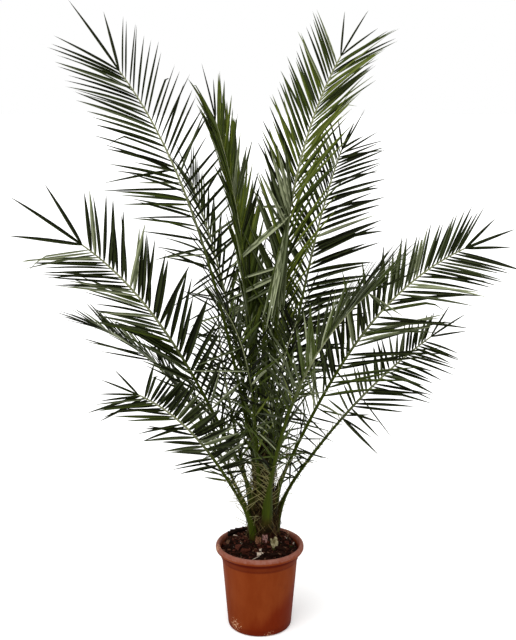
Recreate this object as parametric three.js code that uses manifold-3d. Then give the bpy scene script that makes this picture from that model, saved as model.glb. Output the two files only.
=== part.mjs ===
// A young Canary Island date palm in a terracotta-coloured nursery pot.
// Millimetres, +Z up, origin at the centre of the pot's flat underside.
// +X is to the right and +Y to the back as the plant is seen from the front.
import * as THREE from "three";
import { mergeVertices } from "three/addons/utils/BufferGeometryUtils.js";
import Module from "manifold-3d";

// Pot: a tapered wall with a rounded foot, a stacking shoulder and a rolled rim.
const POT_HEIGHT = 255;
const POT_FOOT_RADIUS = 93;
const POT_FOOT_ROUND = 11;
const POT_BODY_RADIUS = 110.5;
const POT_SHOULDER_HEIGHT = 214;
const POT_SHOULDER_STEP = 3;
const POT_RIM_RADIUS = 129;
const POT_RIM_DEPTH = 19;
const POT_RIM_ROUND = 8;
const POT_WALL = 3;
const POT_FLOOR = 4;
const POT_SIDES = 40;
const ARC_STEPS = 4;

// Soil: level with the rim round the trunk and lower at the wall.
const SOIL_TOP = 256;
const SOIL_TOP_RADIUS = 76;
const SOIL_EDGE = 234;

// Trunk: short, upright and tapering, with a flared foot and four cut leaf bases.
const TRUNK_CENTRE = new THREE.Vector2(12, 20);
const TRUNK_HEIGHT = 300;
const TRUNK_FOOT_RADIUS = 41;
const TRUNK_TIP_RADIUS = 12;
const TRUNK_FLARE = 5;
const TRUNK_FLARE_HEIGHT = 15;
const TRUNK_SIDES = 24;
const TRUNK_RINGS = 12;
const TRUNK_RING_CROWDING = 1.4;
const STUB_AZIMUTHS = [276, 336, 130];
const STUB_WIDTH = 30;
const STUB_DEPTH = 13;
const STUB_HEIGHT = 36;
const STUB_CUT = 0.6;

// Spear: the unopened leaf that stands on the trunk's tip.
const SPEAR_LENGTH = 430;
const SPEAR_RADIUS = 9;
const SPEAR_SIDES = 8;
const SPEAR_OUTLINE = [[0.8, 0], [1, 0.2], [0.75, 0.6], [0, 1]]; // shares of the radius and of the length

// Fronds: the rib stands against the trunk over its clasp, then slopes and droops to its tip.
// azimuth is the way it leans in plan, foot its height on the trunk, rise its slope above level,
// droop how much flatter its tip is, swing its turn in plan, roll the turn of its blade about the rib.
// bare is its petiole, wild the share of its blade over which thin leaflets grow to their full size,
// leaflet its longest leaflet on the right and on the left, tipShare the share of that its last pair reaches,
// end the leaflet that carries the rib on, lift how far the leaflets stand up from the blade at the petiole,
// right and left their angles to the rib at the petiole and at the tip.
const FRONDS = [
  {
    name: "frond_left_tall", azimuth: 132, foot: 160, clasp: 120, length: 1310,
    rise: 74, droop: 27, swing: 18, roll: -42, bare: 80, wild: 0.5,
    leaflet: [235, 275], end: 275, tipShare: 0.85, lift: 28,
    right: [84, 30], left: [84, 36],
  },
  {
    name: "frond_right_tall", azimuth: 40, foot: 220, clasp: 120, length: 1210,
    rise: 88, droop: 33, swing: -6, roll: 40, bare: 70, wild: 0.36,
    leaflet: [270, 245], end: 165, tipShare: 0.74, lift: 28,
    right: [22, 38], left: [18, 46],
  },
  {
    name: "frond_centre_upright", azimuth: 160, foot: 225, clasp: 120, length: 1000,
    rise: 88, droop: 16, swing: 3, roll: -25, bare: 70, wild: 0.3,
    leaflet: [215, 215], end: 160, tipShare: 0.8, lift: 28,
    right: [11, 20], left: [11, 20],
  },
  {
    name: "frond_back_right_tall", azimuth: 62, foot: 160, clasp: 120, length: 1140,
    rise: 66, droop: 33, swing: 8, roll: 34, bare: 80, wild: 0.4,
    leaflet: [240, 220], end: 165, tipShare: 0.78, lift: 28,
    right: [70, 42], left: [60, 36],
  },
  {
    name: "frond_right_wide", azimuth: 6, foot: 115, clasp: 120, length: 940,
    rise: 66, droop: 40, swing: -11, roll: 90, bare: 120, wild: 0.4,
    leaflet: [285, 236], end: 150, tipShare: 0.64, lift: 28,
    right: [47, 42], left: [44, 40],
  },
  {
    name: "frond_left_wide", azimuth: 196, foot: 115, clasp: 120, length: 960,
    rise: 66, droop: 30, swing: 24, roll: -105, bare: 120, wild: 0.42,
    leaflet: [222, 245], end: 255, tipShare: 0.87, lift: 28,
    right: [46, 42], left: [26, 38],
  },
  {
    name: "frond_right_low", azimuth: 36, foot: 20, clasp: 202, length: 762,
    rise: 53, droop: 13, swing: -70, roll: 85, bare: 385, wild: 0.12,
    leaflet: [178, 130], end: 138, tipShare: 0.74, lift: 28,
    right: [56, 44], left: [62, 30],
  },
  {
    name: "frond_left_low", azimuth: 224, foot: 24, clasp: 115, length: 619,
    rise: 61, droop: 31, swing: -19, roll: -105, bare: 215, wild: 0.15,
    leaflet: [128, 172], end: 130, tipShare: 0.92, lift: 28,
    right: [86, 72], left: [38, 28],
  },
  {
    name: "frond_left_middle", azimuth: 189, foot: 60, clasp: 60, length: 751,
    rise: 67, droop: 49, swing: -16, roll: 0, bare: 170, wild: 0.32,
    leaflet: [170, 195], end: 130, tipShare: 0.8, lift: 26,
    right: [44, 24], left: [36, 15],
  },
  {
    name: "frond_front_right", azimuth: 285, foot: 80, clasp: 140, length: 819,
    rise: 71, droop: 29, swing: 60, roll: 10, bare: 140, wild: 0.62,
    leaflet: [235, 235], end: 165, tipShare: 0.9, lift: 44,
    right: [40, 16], left: [40, 16],
  },
  {
    name: "frond_front", azimuth: 305, foot: 165, clasp: 120, length: 560,
    rise: 84, droop: 34, swing: -10, roll: 0, bare: 60, wild: 0.8,
    leaflet: [170, 170], end: 122, tipShare: 0.65, lift: 36,
    right: [48, 28], left: [48, 28],
  },
  {
    name: "frond_front_left", azimuth: 243, foot: 155, clasp: 120, length: 620,
    rise: 85, droop: 38, swing: -14, roll: -20, bare: 60, wild: 0.8,
    leaflet: [180, 180], end: 129, tipShare: 0.65, lift: 36,
    right: [46, 28], left: [46, 28],
  },
  {
    name: "frond_back_left_tall", azimuth: 108, foot: 90, clasp: 120, length: 1020,
    rise: 68, droop: 10, swing: 24, roll: -15, bare: 130, wild: 0.45,
    leaflet: [190, 190], end: 150, tipShare: 0.8, lift: 32,
    right: [28, 17], left: [28, 17],
  },
  {
    name: "frond_back", azimuth: 92, foot: 2, clasp: 120, length: 860,
    rise: 66, droop: 42, swing: -6, roll: 0, bare: 210, wild: 0.5,
    leaflet: [210, 210], end: 173, tipShare: 0.75, lift: 28,
    right: [62, 40], left: [62, 40],
  },
  {
    name: "frond_back_right_low", azimuth: 67, foot: 60, clasp: 120, length: 720,
    rise: 69, droop: 38, swing: 4, roll: 20, bare: 160, wild: 0.5,
    leaflet: [175, 175], end: 135, tipShare: 0.7, lift: 32,
    right: [58, 36], left: [58, 36],
  },
  {
    name: "frond_back_left_low", azimuth: 144, foot: 55, clasp: 120, length: 600,
    rise: 72, droop: 34, swing: -50, roll: -20, bare: 160, wild: 0.5,
    leaflet: [170, 170], end: 131, tipShare: 0.7, lift: 32,
    right: [58, 36], left: [58, 36],
  },
];
const CLASP_SLOPE = 88;
const DROOP_POWER = 2.4;
const ROLL_SPAN = { from: 0.05, to: 0.45 };
const RIB_STEP = 4;

// Rib section: wide where it clasps the trunk, then a taper to the tip.
const RIB_WIDTH = { foot: 30, neck: 14, tip: 4 };
const RIB_THICKNESS = { foot: 12, neck: 9, tip: 3 };
const RIB_FOOT_LENGTH = 45;
const RIB_SEAT_GAP = 0.36;
const PETIOLE_STEP = 38;

// Leaflets: pairs from the end of the petiole to the tip, closing up towards the tip.
const LEAFLET_PITCH = 36;
const LEAFLET_WIDTH = 18;
const LEAFLET_THICKNESS = 2.8;
const LEAFLET_ROOT = 11;
const LEAFLET_WIDEST = 0.38;
const LEAFLET_FOOT_SHARE = { length: 0.5, width: 0.55 };
const LEAFLET_SHORTENS_FROM = 0.4;
const LEAFLET_NARROWING = 2.5;
const LEAFLET_CLOSING = 1.6;
const LEAFLET_LEAST_ANGLE = 29;
const LEAFLET_TIP_LIFT = 0.45;
const LEAFLET_TIP_WIDTH = 0.6;
const LEAFLET_SPREAD = { angle: 4, lift: 6, length: 0.08 };
const LEAFLET_SHARES = [1, 0.75, 0.5];

const SEAT_GAP = 0.3;
const LEAFLET_GAP = 1;
const SEED = 7;

const MATERIALS = {
  pot: new THREE.MeshStandardMaterial({ color: 0x9a4a2a, roughness: 0.55, metalness: 0 }),
  soil: new THREE.MeshStandardMaterial({ color: 0x35261c, roughness: 0.95, metalness: 0 }),
  trunk: new THREE.MeshStandardMaterial({ color: 0x4a3826, roughness: 0.9, metalness: 0 }),
  spear: new THREE.MeshStandardMaterial({ color: 0x5c6b2c, roughness: 0.5, metalness: 0 }),
  frond: new THREE.MeshStandardMaterial({ color: 0x37471f, roughness: 0.45, metalness: 0 }),
};

const wasm = await Module();
wasm.setup();

const radians = THREE.MathUtils.degToRad;
const { lerp, smoothstep } = THREE.MathUtils;

// Seeded random numbers from 0 to 1.
function makeRandom(seed) {
  let state = seed;
  return () => {
    state = (Math.imul(state, 1664525) + 1013904223) >>> 0;
    return state / 2 ** 32;
  };
}
const random = makeRandom(SEED);
const spread = (amount) => (2 * random() - 1) * amount;

// A closed geometry as a solid for joining, and back.
function toSolid(geometry) {
  const bare = geometry.clone();
  bare.deleteAttribute("normal");
  bare.deleteAttribute("uv");
  const merged = mergeVertices(bare, 1e-3);
  return new wasm.Manifold(
    new wasm.Mesh({
      numProp: 3,
      vertProperties: new Float32Array(merged.attributes.position.array),
      triVerts: new Uint32Array(merged.index.array),
    }),
  );
}

function toGeometry(solid) {
  const { vertProperties, triVerts } = solid.getMesh();
  return new THREE.BufferGeometry()
    .setAttribute("position", new THREE.BufferAttribute(vertProperties, 3))
    .setIndex(new THREE.BufferAttribute(triVerts, 1));
}

function makeMesh(name, geometry, material) {
  geometry.computeVertexNormals();
  const mesh = new THREE.Mesh(geometry, material);
  mesh.name = name;
  return mesh;
}

// A lathe profile is drawn in (radius, height) and stands up along +Z.
function turned(points, sides) {
  return new THREE.LatheGeometry(points, sides).rotateX(Math.PI / 2);
}

const potInnerRadius = (height) =>
  lerp(POT_FOOT_RADIUS, POT_BODY_RADIUS, height / POT_SHOULDER_HEIGHT) - POT_WALL;

function makePot() {
  const shoulder = POT_BODY_RADIUS + POT_SHOULDER_STEP;
  const rimFoot = POT_HEIGHT - POT_RIM_DEPTH;
  const rimCentre = POT_RIM_RADIUS - POT_RIM_ROUND;
  const outline = new THREE.Path()
    .moveTo(0, 0)
    .lineTo(POT_FOOT_RADIUS - POT_FOOT_ROUND, 0)
    .absarc(POT_FOOT_RADIUS - POT_FOOT_ROUND, POT_FOOT_ROUND, POT_FOOT_ROUND, -Math.PI / 2, 0)
    .lineTo(POT_BODY_RADIUS, POT_SHOULDER_HEIGHT)
    .lineTo(shoulder, POT_SHOULDER_HEIGHT + POT_SHOULDER_STEP)
    .lineTo(shoulder, rimFoot)
    .lineTo(rimCentre, rimFoot)
    .absarc(rimCentre, rimFoot + POT_RIM_ROUND, POT_RIM_ROUND, -Math.PI / 2, 0)
    .absarc(rimCentre, POT_HEIGHT - POT_RIM_ROUND, POT_RIM_ROUND, 0, Math.PI / 2)
    .lineTo(shoulder - POT_WALL, POT_HEIGHT)
    .lineTo(potInnerRadius(POT_SHOULDER_HEIGHT), POT_SHOULDER_HEIGHT)
    .lineTo(potInnerRadius(POT_FLOOR), POT_FLOOR)
    .lineTo(0, POT_FLOOR);
  return makeMesh("pot", turned(outline.getPoints(ARC_STEPS), POT_SIDES), MATERIALS.pot);
}

function makeSoil() {
  const floor = POT_FLOOR + SEAT_GAP;
  const outline = new THREE.Path()
    .moveTo(0, floor)
    .lineTo(potInnerRadius(floor) - 2 * SEAT_GAP, floor)
    .lineTo(potInnerRadius(POT_SHOULDER_HEIGHT) - 2 * SEAT_GAP, POT_SHOULDER_HEIGHT)
    .lineTo(potInnerRadius(POT_SHOULDER_HEIGHT) - 2 * SEAT_GAP, SOIL_EDGE)
    .quadraticCurveTo(potInnerRadius(POT_SHOULDER_HEIGHT) * 0.9, SOIL_TOP, SOIL_TOP_RADIUS, SOIL_TOP)
    .lineTo(0, SOIL_TOP);
  return makeMesh("soil", turned(outline.getPoints(ARC_STEPS), POT_SIDES), MATERIALS.soil);
}

function trunkRadius(height) {
  const taper = 1 - height / TRUNK_HEIGHT;
  const flare = TRUNK_FLARE * Math.exp(-height / TRUNK_FLARE_HEIGHT);
  return lerp(TRUNK_TIP_RADIUS, TRUNK_FOOT_RADIUS, taper) + flare;
}

// A cut leaf base: half an ellipse in plan against the trunk, with its top sloping outwards.
function makeStub(azimuth) {
  const outline = new THREE.Shape().absellipse(
    0, 0, STUB_DEPTH + TRUNK_FLARE, STUB_WIDTH / 2, -Math.PI / 2, Math.PI / 2, false, 0,
  );
  const geometry = new THREE.ExtrudeGeometry(outline, {
    depth: STUB_HEIGHT, bevelEnabled: false, curveSegments: ARC_STEPS,
  });
  const position = geometry.attributes.position;
  for (let i = 0; i < position.count; i++) {
    if (position.getZ(i) > 0) position.setZ(i, STUB_HEIGHT - STUB_CUT * position.getX(i));
  }
  return geometry
    .translate(trunkRadius(STUB_HEIGHT) - TRUNK_FLARE, 0, 0)
    .rotateZ(radians(azimuth));
}

function makeTrunk() {
  const outline = [new THREE.Vector2(0, 0)];
  for (let ring = 0; ring <= TRUNK_RINGS; ring++) {
    const height = TRUNK_HEIGHT * (ring / TRUNK_RINGS) ** TRUNK_RING_CROWDING;
    outline.push(new THREE.Vector2(trunkRadius(height), height));
  }
  outline.push(new THREE.Vector2(0, TRUNK_HEIGHT));
  const solid = STUB_AZIMUTHS.reduce(
    (body, azimuth) => body.add(toSolid(makeStub(azimuth))),
    toSolid(turned(outline, TRUNK_SIDES)),
  );
  return makeMesh("trunk", toGeometry(solid), MATERIALS.trunk);
}

function makeSpear() {
  const outline = [
    new THREE.Vector2(0, 0),
    ...SPEAR_OUTLINE.map(([wide, high]) => new THREE.Vector2(SPEAR_RADIUS * wide, SPEAR_LENGTH * high)),
  ];
  const mesh = makeMesh("spear_leaf", turned(outline, SPEAR_SIDES), MATERIALS.spear);
  mesh.position.z = TRUNK_HEIGHT + SEAT_GAP;
  return mesh;
}

// Width and thickness of a rib at a distance from its foot.
function ribSize(size, distance, length) {
  const clasp = (size.foot - size.neck) * Math.exp(-distance / RIB_FOOT_LENGTH);
  return lerp(size.neck, size.tip, distance / length) + clasp;
}

// The direction of a rib at a distance from its foot: along it, across it and out of its upper face.
function ribDirections(frond, distance) {
  const share = distance / frond.length;
  const open = frond.rise - frond.droop * share ** DROOP_POWER;
  const slope = radians(lerp(open, CLASP_SLOPE, Math.max(0, 1 - distance / frond.clasp) ** 2));
  const heading = radians(frond.azimuth + frond.swing * share);
  const roll = radians(frond.roll) * smoothstep(share, ROLL_SPAN.from, ROLL_SPAN.to);
  const outward = new THREE.Vector3(Math.cos(heading), Math.sin(heading), 0);
  const along = outward.clone().multiplyScalar(Math.cos(slope));
  along.z = Math.sin(slope);
  const face = outward.clone().multiplyScalar(-Math.sin(slope));
  face.z = Math.cos(slope);
  face.applyAxisAngle(along, roll);
  return { along, face, side: along.clone().cross(face) };
}

// Frames along a rib at the given distances, stepped from its foot on the trunk.
function ribFrames(frond, distances) {
  const radius = trunkRadius(frond.foot) + RIB_THICKNESS.foot / 2 + RIB_SEAT_GAP;
  const heading = radians(frond.azimuth);
  const place = new THREE.Vector3(radius * Math.cos(heading), radius * Math.sin(heading), frond.foot);
  let reached = 0;
  return distances.map((distance) => {
    const steps = Math.ceil((distance - reached) / RIB_STEP);
    const step = steps > 0 ? (distance - reached) / steps : 0;
    for (let i = 0; i < steps; i++) {
      const middle = reached + (i + 0.5) * step;
      place.addScaledVector(ribDirections(frond, middle).along, step);
    }
    reached = distance;
    return {
      distance,
      place: place.clone(),
      halfWidth: ribSize(RIB_WIDTH, distance, frond.length) / 2,
      halfThickness: ribSize(RIB_THICKNESS, distance, frond.length) / 2,
      ...ribDirections(frond, distance),
    };
  });
}

// Stations of a rib: plain lengths of petiole, then each leaflet pair's root between two stations.
function ribStations(frond) {
  const petiole = frond.bare;
  const petioleSteps = Math.max(2, Math.round(petiole / PETIOLE_STEP));
  const distances = [];
  for (let i = 0; i < petioleSteps; i++) {
    distances.push((petiole * i) / petioleSteps);
  }
  const pairs = Math.round((frond.length - petiole) / LEAFLET_PITCH);
  const pitch = (frond.length - petiole) / pairs;
  const pairStarts = [];
  for (let i = 0; i < pairs; i++) {
    pairStarts.push(distances.length);
    distances.push(petiole + pitch * i, petiole + pitch * i + LEAFLET_ROOT);
  }
  distances.push(frond.length);
  return { distances, pairStarts };
}

// A leaflet's length and width at a share of the blade, 0 at the petiole and 1 at the tip.
function leafletSize(frond, share, hand) {
  const grown = lerp(LEAFLET_FOOT_SHARE.length, 1, smoothstep(share, 0, frond.wild));
  const widened = lerp(LEAFLET_FOOT_SHARE.width, 1, smoothstep(share, 0, frond.wild));
  const shortened = lerp(1, frond.tipShare, smoothstep(share, LEAFLET_SHORTENS_FROM, 1));
  const longest = hand > 0 ? frond.leaflet[0] : frond.leaflet[1];
  return {
    length: longest * grown * shortened * (1 + spread(LEAFLET_SPREAD.length)),
    width: LEAFLET_WIDTH * widened * lerp(1, LEAFLET_TIP_WIDTH, share ** LEAFLET_NARROWING),
  };
}

// A leaflet on one side of the rib, hand 1 for the right and -1 for the left.
function planSideLeaflet(frond, before, after, hand) {
  const share = (before.distance - frond.bare) / (frond.length - frond.bare);
  const [footAngle, tipAngle] = hand > 0 ? frond.right : frond.left;
  const closing = Math.max(LEAFLET_LEAST_ANGLE, lerp(footAngle, tipAngle, share ** LEAFLET_CLOSING));
  const angle = radians(closing + spread(LEAFLET_SPREAD.angle));
  const lift = radians(frond.lift * lerp(1, LEAFLET_TIP_LIFT, share) + spread(LEAFLET_SPREAD.lift));
  const direction = before.along
    .clone()
    .multiplyScalar(Math.cos(angle))
    .addScaledVector(before.side, hand * Math.cos(lift) * Math.sin(angle))
    .addScaledVector(before.face, Math.sin(lift) * Math.sin(angle));
  const across = before.along.clone().projectOnPlane(direction).normalize();
  return {
    hand,
    root: before.place
      .clone()
      .lerp(after.place, 0.5)
      .addScaledVector(before.side, hand * before.halfWidth),
    direction,
    across,
    up: direction.clone().cross(across).multiplyScalar(hand),
    ...leafletSize(frond, share, hand),
  };
}

// The leaflet that carries the rib on beyond its end.
function planEndLeaflet(frond, end) {
  return {
    hand: 0,
    root: end.place,
    direction: end.along,
    across: end.side,
    up: end.face,
    length: frond.end,
    width: LEAFLET_WIDTH * LEAFLET_TIP_WIDTH,
  };
}

// A straight limb as a box: its centre, its three directions and its half sizes with the gap.
function makeBox(centre, axes, halves) {
  const half = halves.map((size) => size + LEAFLET_GAP / 2);
  return { centre, axes, half, reach: Math.hypot(...half) };
}

function leafletBox(leaflet) {
  const centre = leaflet.root.clone().addScaledVector(leaflet.direction, leaflet.length / 2);
  const axes = [leaflet.direction, leaflet.across, leaflet.up];
  return makeBox(centre, axes, [leaflet.length / 2, leaflet.width / 2, LEAFLET_THICKNESS]);
}

function ribBoxes(frames) {
  return frames.slice(1).map((after, i) => {
    const before = frames[i];
    const centre = before.place.clone().lerp(after.place, 0.5);
    const half = [(after.distance - before.distance) / 2, before.halfWidth, before.halfThickness];
    return makeBox(centre, [before.along, before.side, before.face], half);
  });
}

// Two boxes are clear when some direction separates them.
function boxesTouch(a, b) {
  const apart = b.centre.clone().sub(a.centre);
  if (apart.length() > a.reach + b.reach) return false;
  const extent = (box, direction) =>
    box.axes.reduce((sum, axis, i) => sum + box.half[i] * Math.abs(axis.dot(direction)), 0);
  const crossings = a.axes.flatMap((first) => b.axes.map((second) => first.clone().cross(second)));
  return [...a.axes, ...b.axes, ...crossings].every((direction) => {
    if (direction.lengthSq() < 1e-6) return true;
    return Math.abs(apart.dot(direction)) <= extent(a, direction) + extent(b, direction);
  });
}

// Every frond's rib and its wanted leaflets, listed from the tip to the petiole.
function planFrond(frond) {
  const { distances, pairStarts } = ribStations(frond);
  const frames = ribFrames(frond, distances);
  const leaflets = [planEndLeaflet(frond, frames.at(-1))];
  for (const start of pairStarts.toReversed()) {
    for (const hand of [1, -1]) {
      leaflets.push({ start, ...planSideLeaflet(frond, frames[start], frames[start + 1], hand) });
    }
  }
  return { frond, frames, leaflets, boxes: ribBoxes(frames), kept: [] };
}

// Leaflets are kept whole, shortened or left out so that none touches another frond.
function keepClearLeaflets(plans, fixedBoxes) {
  const mostLeaflets = Math.max(...plans.map((plan) => plan.leaflets.length));
  for (let rank = 0; rank < mostLeaflets; rank++) {
    for (const plan of plans.filter((each) => rank < each.leaflets.length)) {
      const others = plans.filter((each) => each !== plan).flatMap((each) => each.boxes);
      const obstacles = [...fixedBoxes, ...others];
      for (const share of LEAFLET_SHARES) {
        const wanted = plan.leaflets[rank];
        const leaflet = { ...wanted, length: wanted.length * share };
        const box = leafletBox(leaflet);
        if (obstacles.some((obstacle) => boxesTouch(box, obstacle))) continue;
        plan.kept.push(leaflet);
        plan.boxes.push(box);
        break;
      }
    }
  }
}

// One frond as a closed skin: a four-cornered rib whose side faces open into leaflets.
function makeFrond({ frond, frames, kept }) {
  const points = [];
  const triangles = [];
  const addPoint = (point) => points.push(point.x, point.y, point.z) / 3 - 1;
  const addQuad = (a, b, c, d) => triangles.push(a, b, c, a, c, d);

  // Corners run upper right, upper left, lower left, lower right.
  const rings = frames.map((frame) =>
    [[1, 1], [-1, 1], [-1, -1], [1, -1]].map(([right, upper]) =>
      addPoint(
        frame.place
          .clone()
          .addScaledVector(frame.side, right * frame.halfWidth)
          .addScaledVector(frame.face, upper * frame.halfThickness),
      ),
    ),
  );

  // A leaflet swells from its root corners to its widest and ends in a point.
  const addLeaflet = (leaflet, root, acrossSigns, upSigns) => {
    const widest = leaflet.root.clone().addScaledVector(leaflet.direction, leaflet.length * LEAFLET_WIDEST);
    const middle = root.map((corner, i) =>
      addPoint(
        widest
          .clone()
          .addScaledVector(leaflet.across, (acrossSigns[i] * leaflet.width) / 2)
          .addScaledVector(leaflet.up, (upSigns[i] * LEAFLET_THICKNESS) / 2),
      ),
    );
    const tip = addPoint(leaflet.root.clone().addScaledVector(leaflet.direction, leaflet.length));
    for (let i = 0; i < 4; i++) {
      const next = (i + 1) % 4;
      addQuad(root[i], root[next], middle[next], middle[i]);
      triangles.push(middle[i], middle[next], tip);
    }
  };

  addQuad(...rings[0]);
  for (let i = 0; i + 1 < rings.length; i++) {
    const a = rings[i];
    const b = rings[i + 1];
    addQuad(a[1], a[0], b[0], b[1]);
    addQuad(a[3], a[2], b[2], b[3]);
    const right = kept.find((leaflet) => leaflet.start === i && leaflet.hand === 1);
    const left = kept.find((leaflet) => leaflet.start === i && leaflet.hand === -1);
    if (right) addLeaflet(right, [a[0], a[3], b[3], b[0]], [-1, -1, 1, 1], [1, -1, -1, 1]);
    else addQuad(a[0], a[3], b[3], b[0]);
    if (left) addLeaflet(left, [a[2], a[1], b[1], b[2]], [-1, -1, 1, 1], [-1, 1, 1, -1]);
    else addQuad(a[2], a[1], b[1], b[2]);
  }
  const [upperRight, upperLeft, lowerLeft, lowerRight] = rings.at(-1);
  const endCorners = [upperRight, lowerRight, lowerLeft, upperLeft];
  const end = kept.find((leaflet) => leaflet.hand === 0);
  if (end) addLeaflet(end, endCorners, [1, 1, -1, -1], [1, -1, -1, 1]);
  else addQuad(...endCorners);

  const geometry = new THREE.BufferGeometry()
    .setAttribute("position", new THREE.Float32BufferAttribute(points, 3))
    .setIndex(triangles);
  return makeMesh(frond.name, geometry, MATERIALS.frond);
}

function makeFronds() {
  const upright = [new THREE.Vector3(0, 0, 1), new THREE.Vector3(1, 0, 0), new THREE.Vector3(0, 1, 0)];
  const trunkHalf = [TRUNK_HEIGHT / 2, TRUNK_FOOT_RADIUS, TRUNK_FOOT_RADIUS];
  const spearHalf = [SPEAR_LENGTH / 2, SPEAR_RADIUS, SPEAR_RADIUS];
  const trunkMiddle = new THREE.Vector3(0, 0, TRUNK_HEIGHT / 2);
  const spearMiddle = new THREE.Vector3(0, 0, TRUNK_HEIGHT + SPEAR_LENGTH / 2);
  const trunkBox = makeBox(trunkMiddle, upright, trunkHalf);
  const spearBox = makeBox(spearMiddle, upright, spearHalf);
  const plans = FRONDS.map(planFrond);
  keepClearLeaflets(plans, [trunkBox, spearBox]);
  return plans.map(makeFrond);
}

const plant = new THREE.Group();
plant.position.set(TRUNK_CENTRE.x, TRUNK_CENTRE.y, SOIL_TOP + SEAT_GAP);
plant.add(makeTrunk(), makeSpear(), ...makeFronds());

const palm = new THREE.Group();
palm.add(makePot(), makeSoil(), plant);
export default palm;
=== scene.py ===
import math

import bpy
import numpy as np
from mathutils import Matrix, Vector, noise


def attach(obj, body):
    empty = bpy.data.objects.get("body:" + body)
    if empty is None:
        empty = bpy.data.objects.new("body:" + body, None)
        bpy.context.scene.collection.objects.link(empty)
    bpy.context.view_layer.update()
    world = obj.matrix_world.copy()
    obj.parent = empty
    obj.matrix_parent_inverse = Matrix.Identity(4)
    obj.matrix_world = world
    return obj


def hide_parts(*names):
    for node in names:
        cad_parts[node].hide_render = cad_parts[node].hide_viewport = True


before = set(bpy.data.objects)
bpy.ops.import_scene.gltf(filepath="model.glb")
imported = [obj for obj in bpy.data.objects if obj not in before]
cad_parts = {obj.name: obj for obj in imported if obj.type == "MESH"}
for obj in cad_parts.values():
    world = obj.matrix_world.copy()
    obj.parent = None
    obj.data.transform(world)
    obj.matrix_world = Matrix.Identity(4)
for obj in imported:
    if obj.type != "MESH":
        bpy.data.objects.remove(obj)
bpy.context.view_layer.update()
print("frame loaded,", len(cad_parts), "nodes")

mm = 0.001
plantFoot = np.array([12.0, 20.0, 256.3])  # trunk axis on the soil, mm
white = (1, 1, 1, 1)


def paint(red, green, blue):  # a screen colour, 0 to 255, as a linear one
    def linear(value):
        value /= 255
        return value / 12.92 if value <= 0.04045 else ((value + 0.055) / 1.055) ** 2.4
    return (linear(red), linear(green), linear(blue), 1)


def easing(value, low, high):
    share = np.clip((value - low) / (high - low), 0, 1)
    return share * share * (3 - 2 * share)


def lerp(first, second, share):
    return first + (second - first) * share


def addNode(tree, kind, settings=None, sockets=None):
    node = tree.nodes.new(kind)
    for key, value in (settings or {}).items():
        setattr(node, key, value)
    for key, value in (sockets or {}).items():
        if isinstance(value, bpy.types.NodeSocket):
            tree.links.new(value, node.inputs[key])
        else:
            node.inputs[key].default_value = value
    return node


def mixColour(tree, share, first, second):
    node = addNode(tree, "ShaderNodeMix", {"data_type": "RGBA"}, {0: share, 6: first, 7: second})
    return node.outputs[2]


def multiply(tree, first, second):
    return addNode(tree, "ShaderNodeMath", {"operation": "MULTIPLY"}, {0: first, 1: second}).outputs[0]


def remap(tree, value, low, high, to=(0.0, 1.0), kind="SMOOTHSTEP"):
    node = addNode(tree, "ShaderNodeMapRange", {"interpolation_type": kind}, {
        "Value": value, "From Min": low, "From Max": high, "To Min": to[0], "To Max": to[1]})
    return node.outputs[0]


def cloud(tree, at, scale, detail, roughness):
    node = addNode(tree, "ShaderNodeTexNoise", None, {
        "Vector": at, "Scale": scale, "Detail": detail, "Roughness": roughness})
    return node.outputs[0]


def newMaterial(name, roughness, specular, space="Object"):
    material = bpy.data.materials.new(name)
    material.use_nodes = True
    tree = material.node_tree
    surface = tree.nodes["Principled BSDF"].inputs
    surface["Roughness"].default_value = roughness
    surface["Specular IOR Level"].default_value = specular
    return material, tree, surface, addNode(tree, "ShaderNodeTexCoord").outputs[space]


studio = {
    "place": (-0.005, -3.0, 1.6),
    "tilt": 12.7,
    "lens": 61.76,
    "sky": 0.45,  # light from all round; the backdrop itself stays white
    "sun": {"from": (-0.35, -0.75, 1.5), "strength": 3.4, "softness": 80},
    "floor": {"size": 80, "tone": (0.95, 0.95, 0.945, 1), "roughness": 0.9, "specular": 0.5, "glow": 0.18},
}


def setUpStudio():
    scene = bpy.context.scene
    bpy.ops.object.select_all(action="DESELECT")
    bpy.ops.object.camera_add(
        location=studio["place"], rotation=(math.radians(90 - studio["tilt"]), 0, 0))
    scene.camera = bpy.context.object
    scene.camera.data.lens = studio["lens"]

    scene.world = bpy.data.worlds.new("softSky")
    scene.world.use_nodes = True
    tree = scene.world.node_tree
    sky = tree.nodes["Background"]
    sky.inputs["Color"].default_value = white
    sky.inputs["Strength"].default_value = studio["sky"]
    backdrop = addNode(tree, "ShaderNodeBackground", None, {"Color": white})
    seen = addNode(tree, "ShaderNodeLightPath").outputs["Is Camera Ray"]
    both = addNode(tree, "ShaderNodeMixShader", None, {0: seen, 1: sky.outputs[0], 2: backdrop.outputs[0]})
    tree.links.new(both.outputs[0], tree.nodes["World Output"].inputs["Surface"])
    scene.view_settings.view_transform = "Standard"

    sun = studio["sun"]
    bpy.ops.object.light_add(type="SUN", location=sun["from"])
    light = bpy.context.object
    light.data.energy = sun["strength"]
    light.data.angle = math.radians(sun["softness"])
    light.rotation_euler = Vector(sun["from"]).to_track_quat("Z", "Y").to_euler()

    paper = studio["floor"]
    bpy.ops.mesh.primitive_plane_add(size=paper["size"])
    floor = bpy.context.object
    floor.name = "floor"
    material, _, surface, _ = newMaterial("palePaper", paper["roughness"], paper["specular"])
    surface["Base Color"].default_value = paper["tone"]
    surface["Emission Color"].default_value = white
    surface["Emission Strength"].default_value = paper["glow"]
    floor.data.materials.append(material)


setUpStudio()
print("camera, light and floor set")


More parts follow.
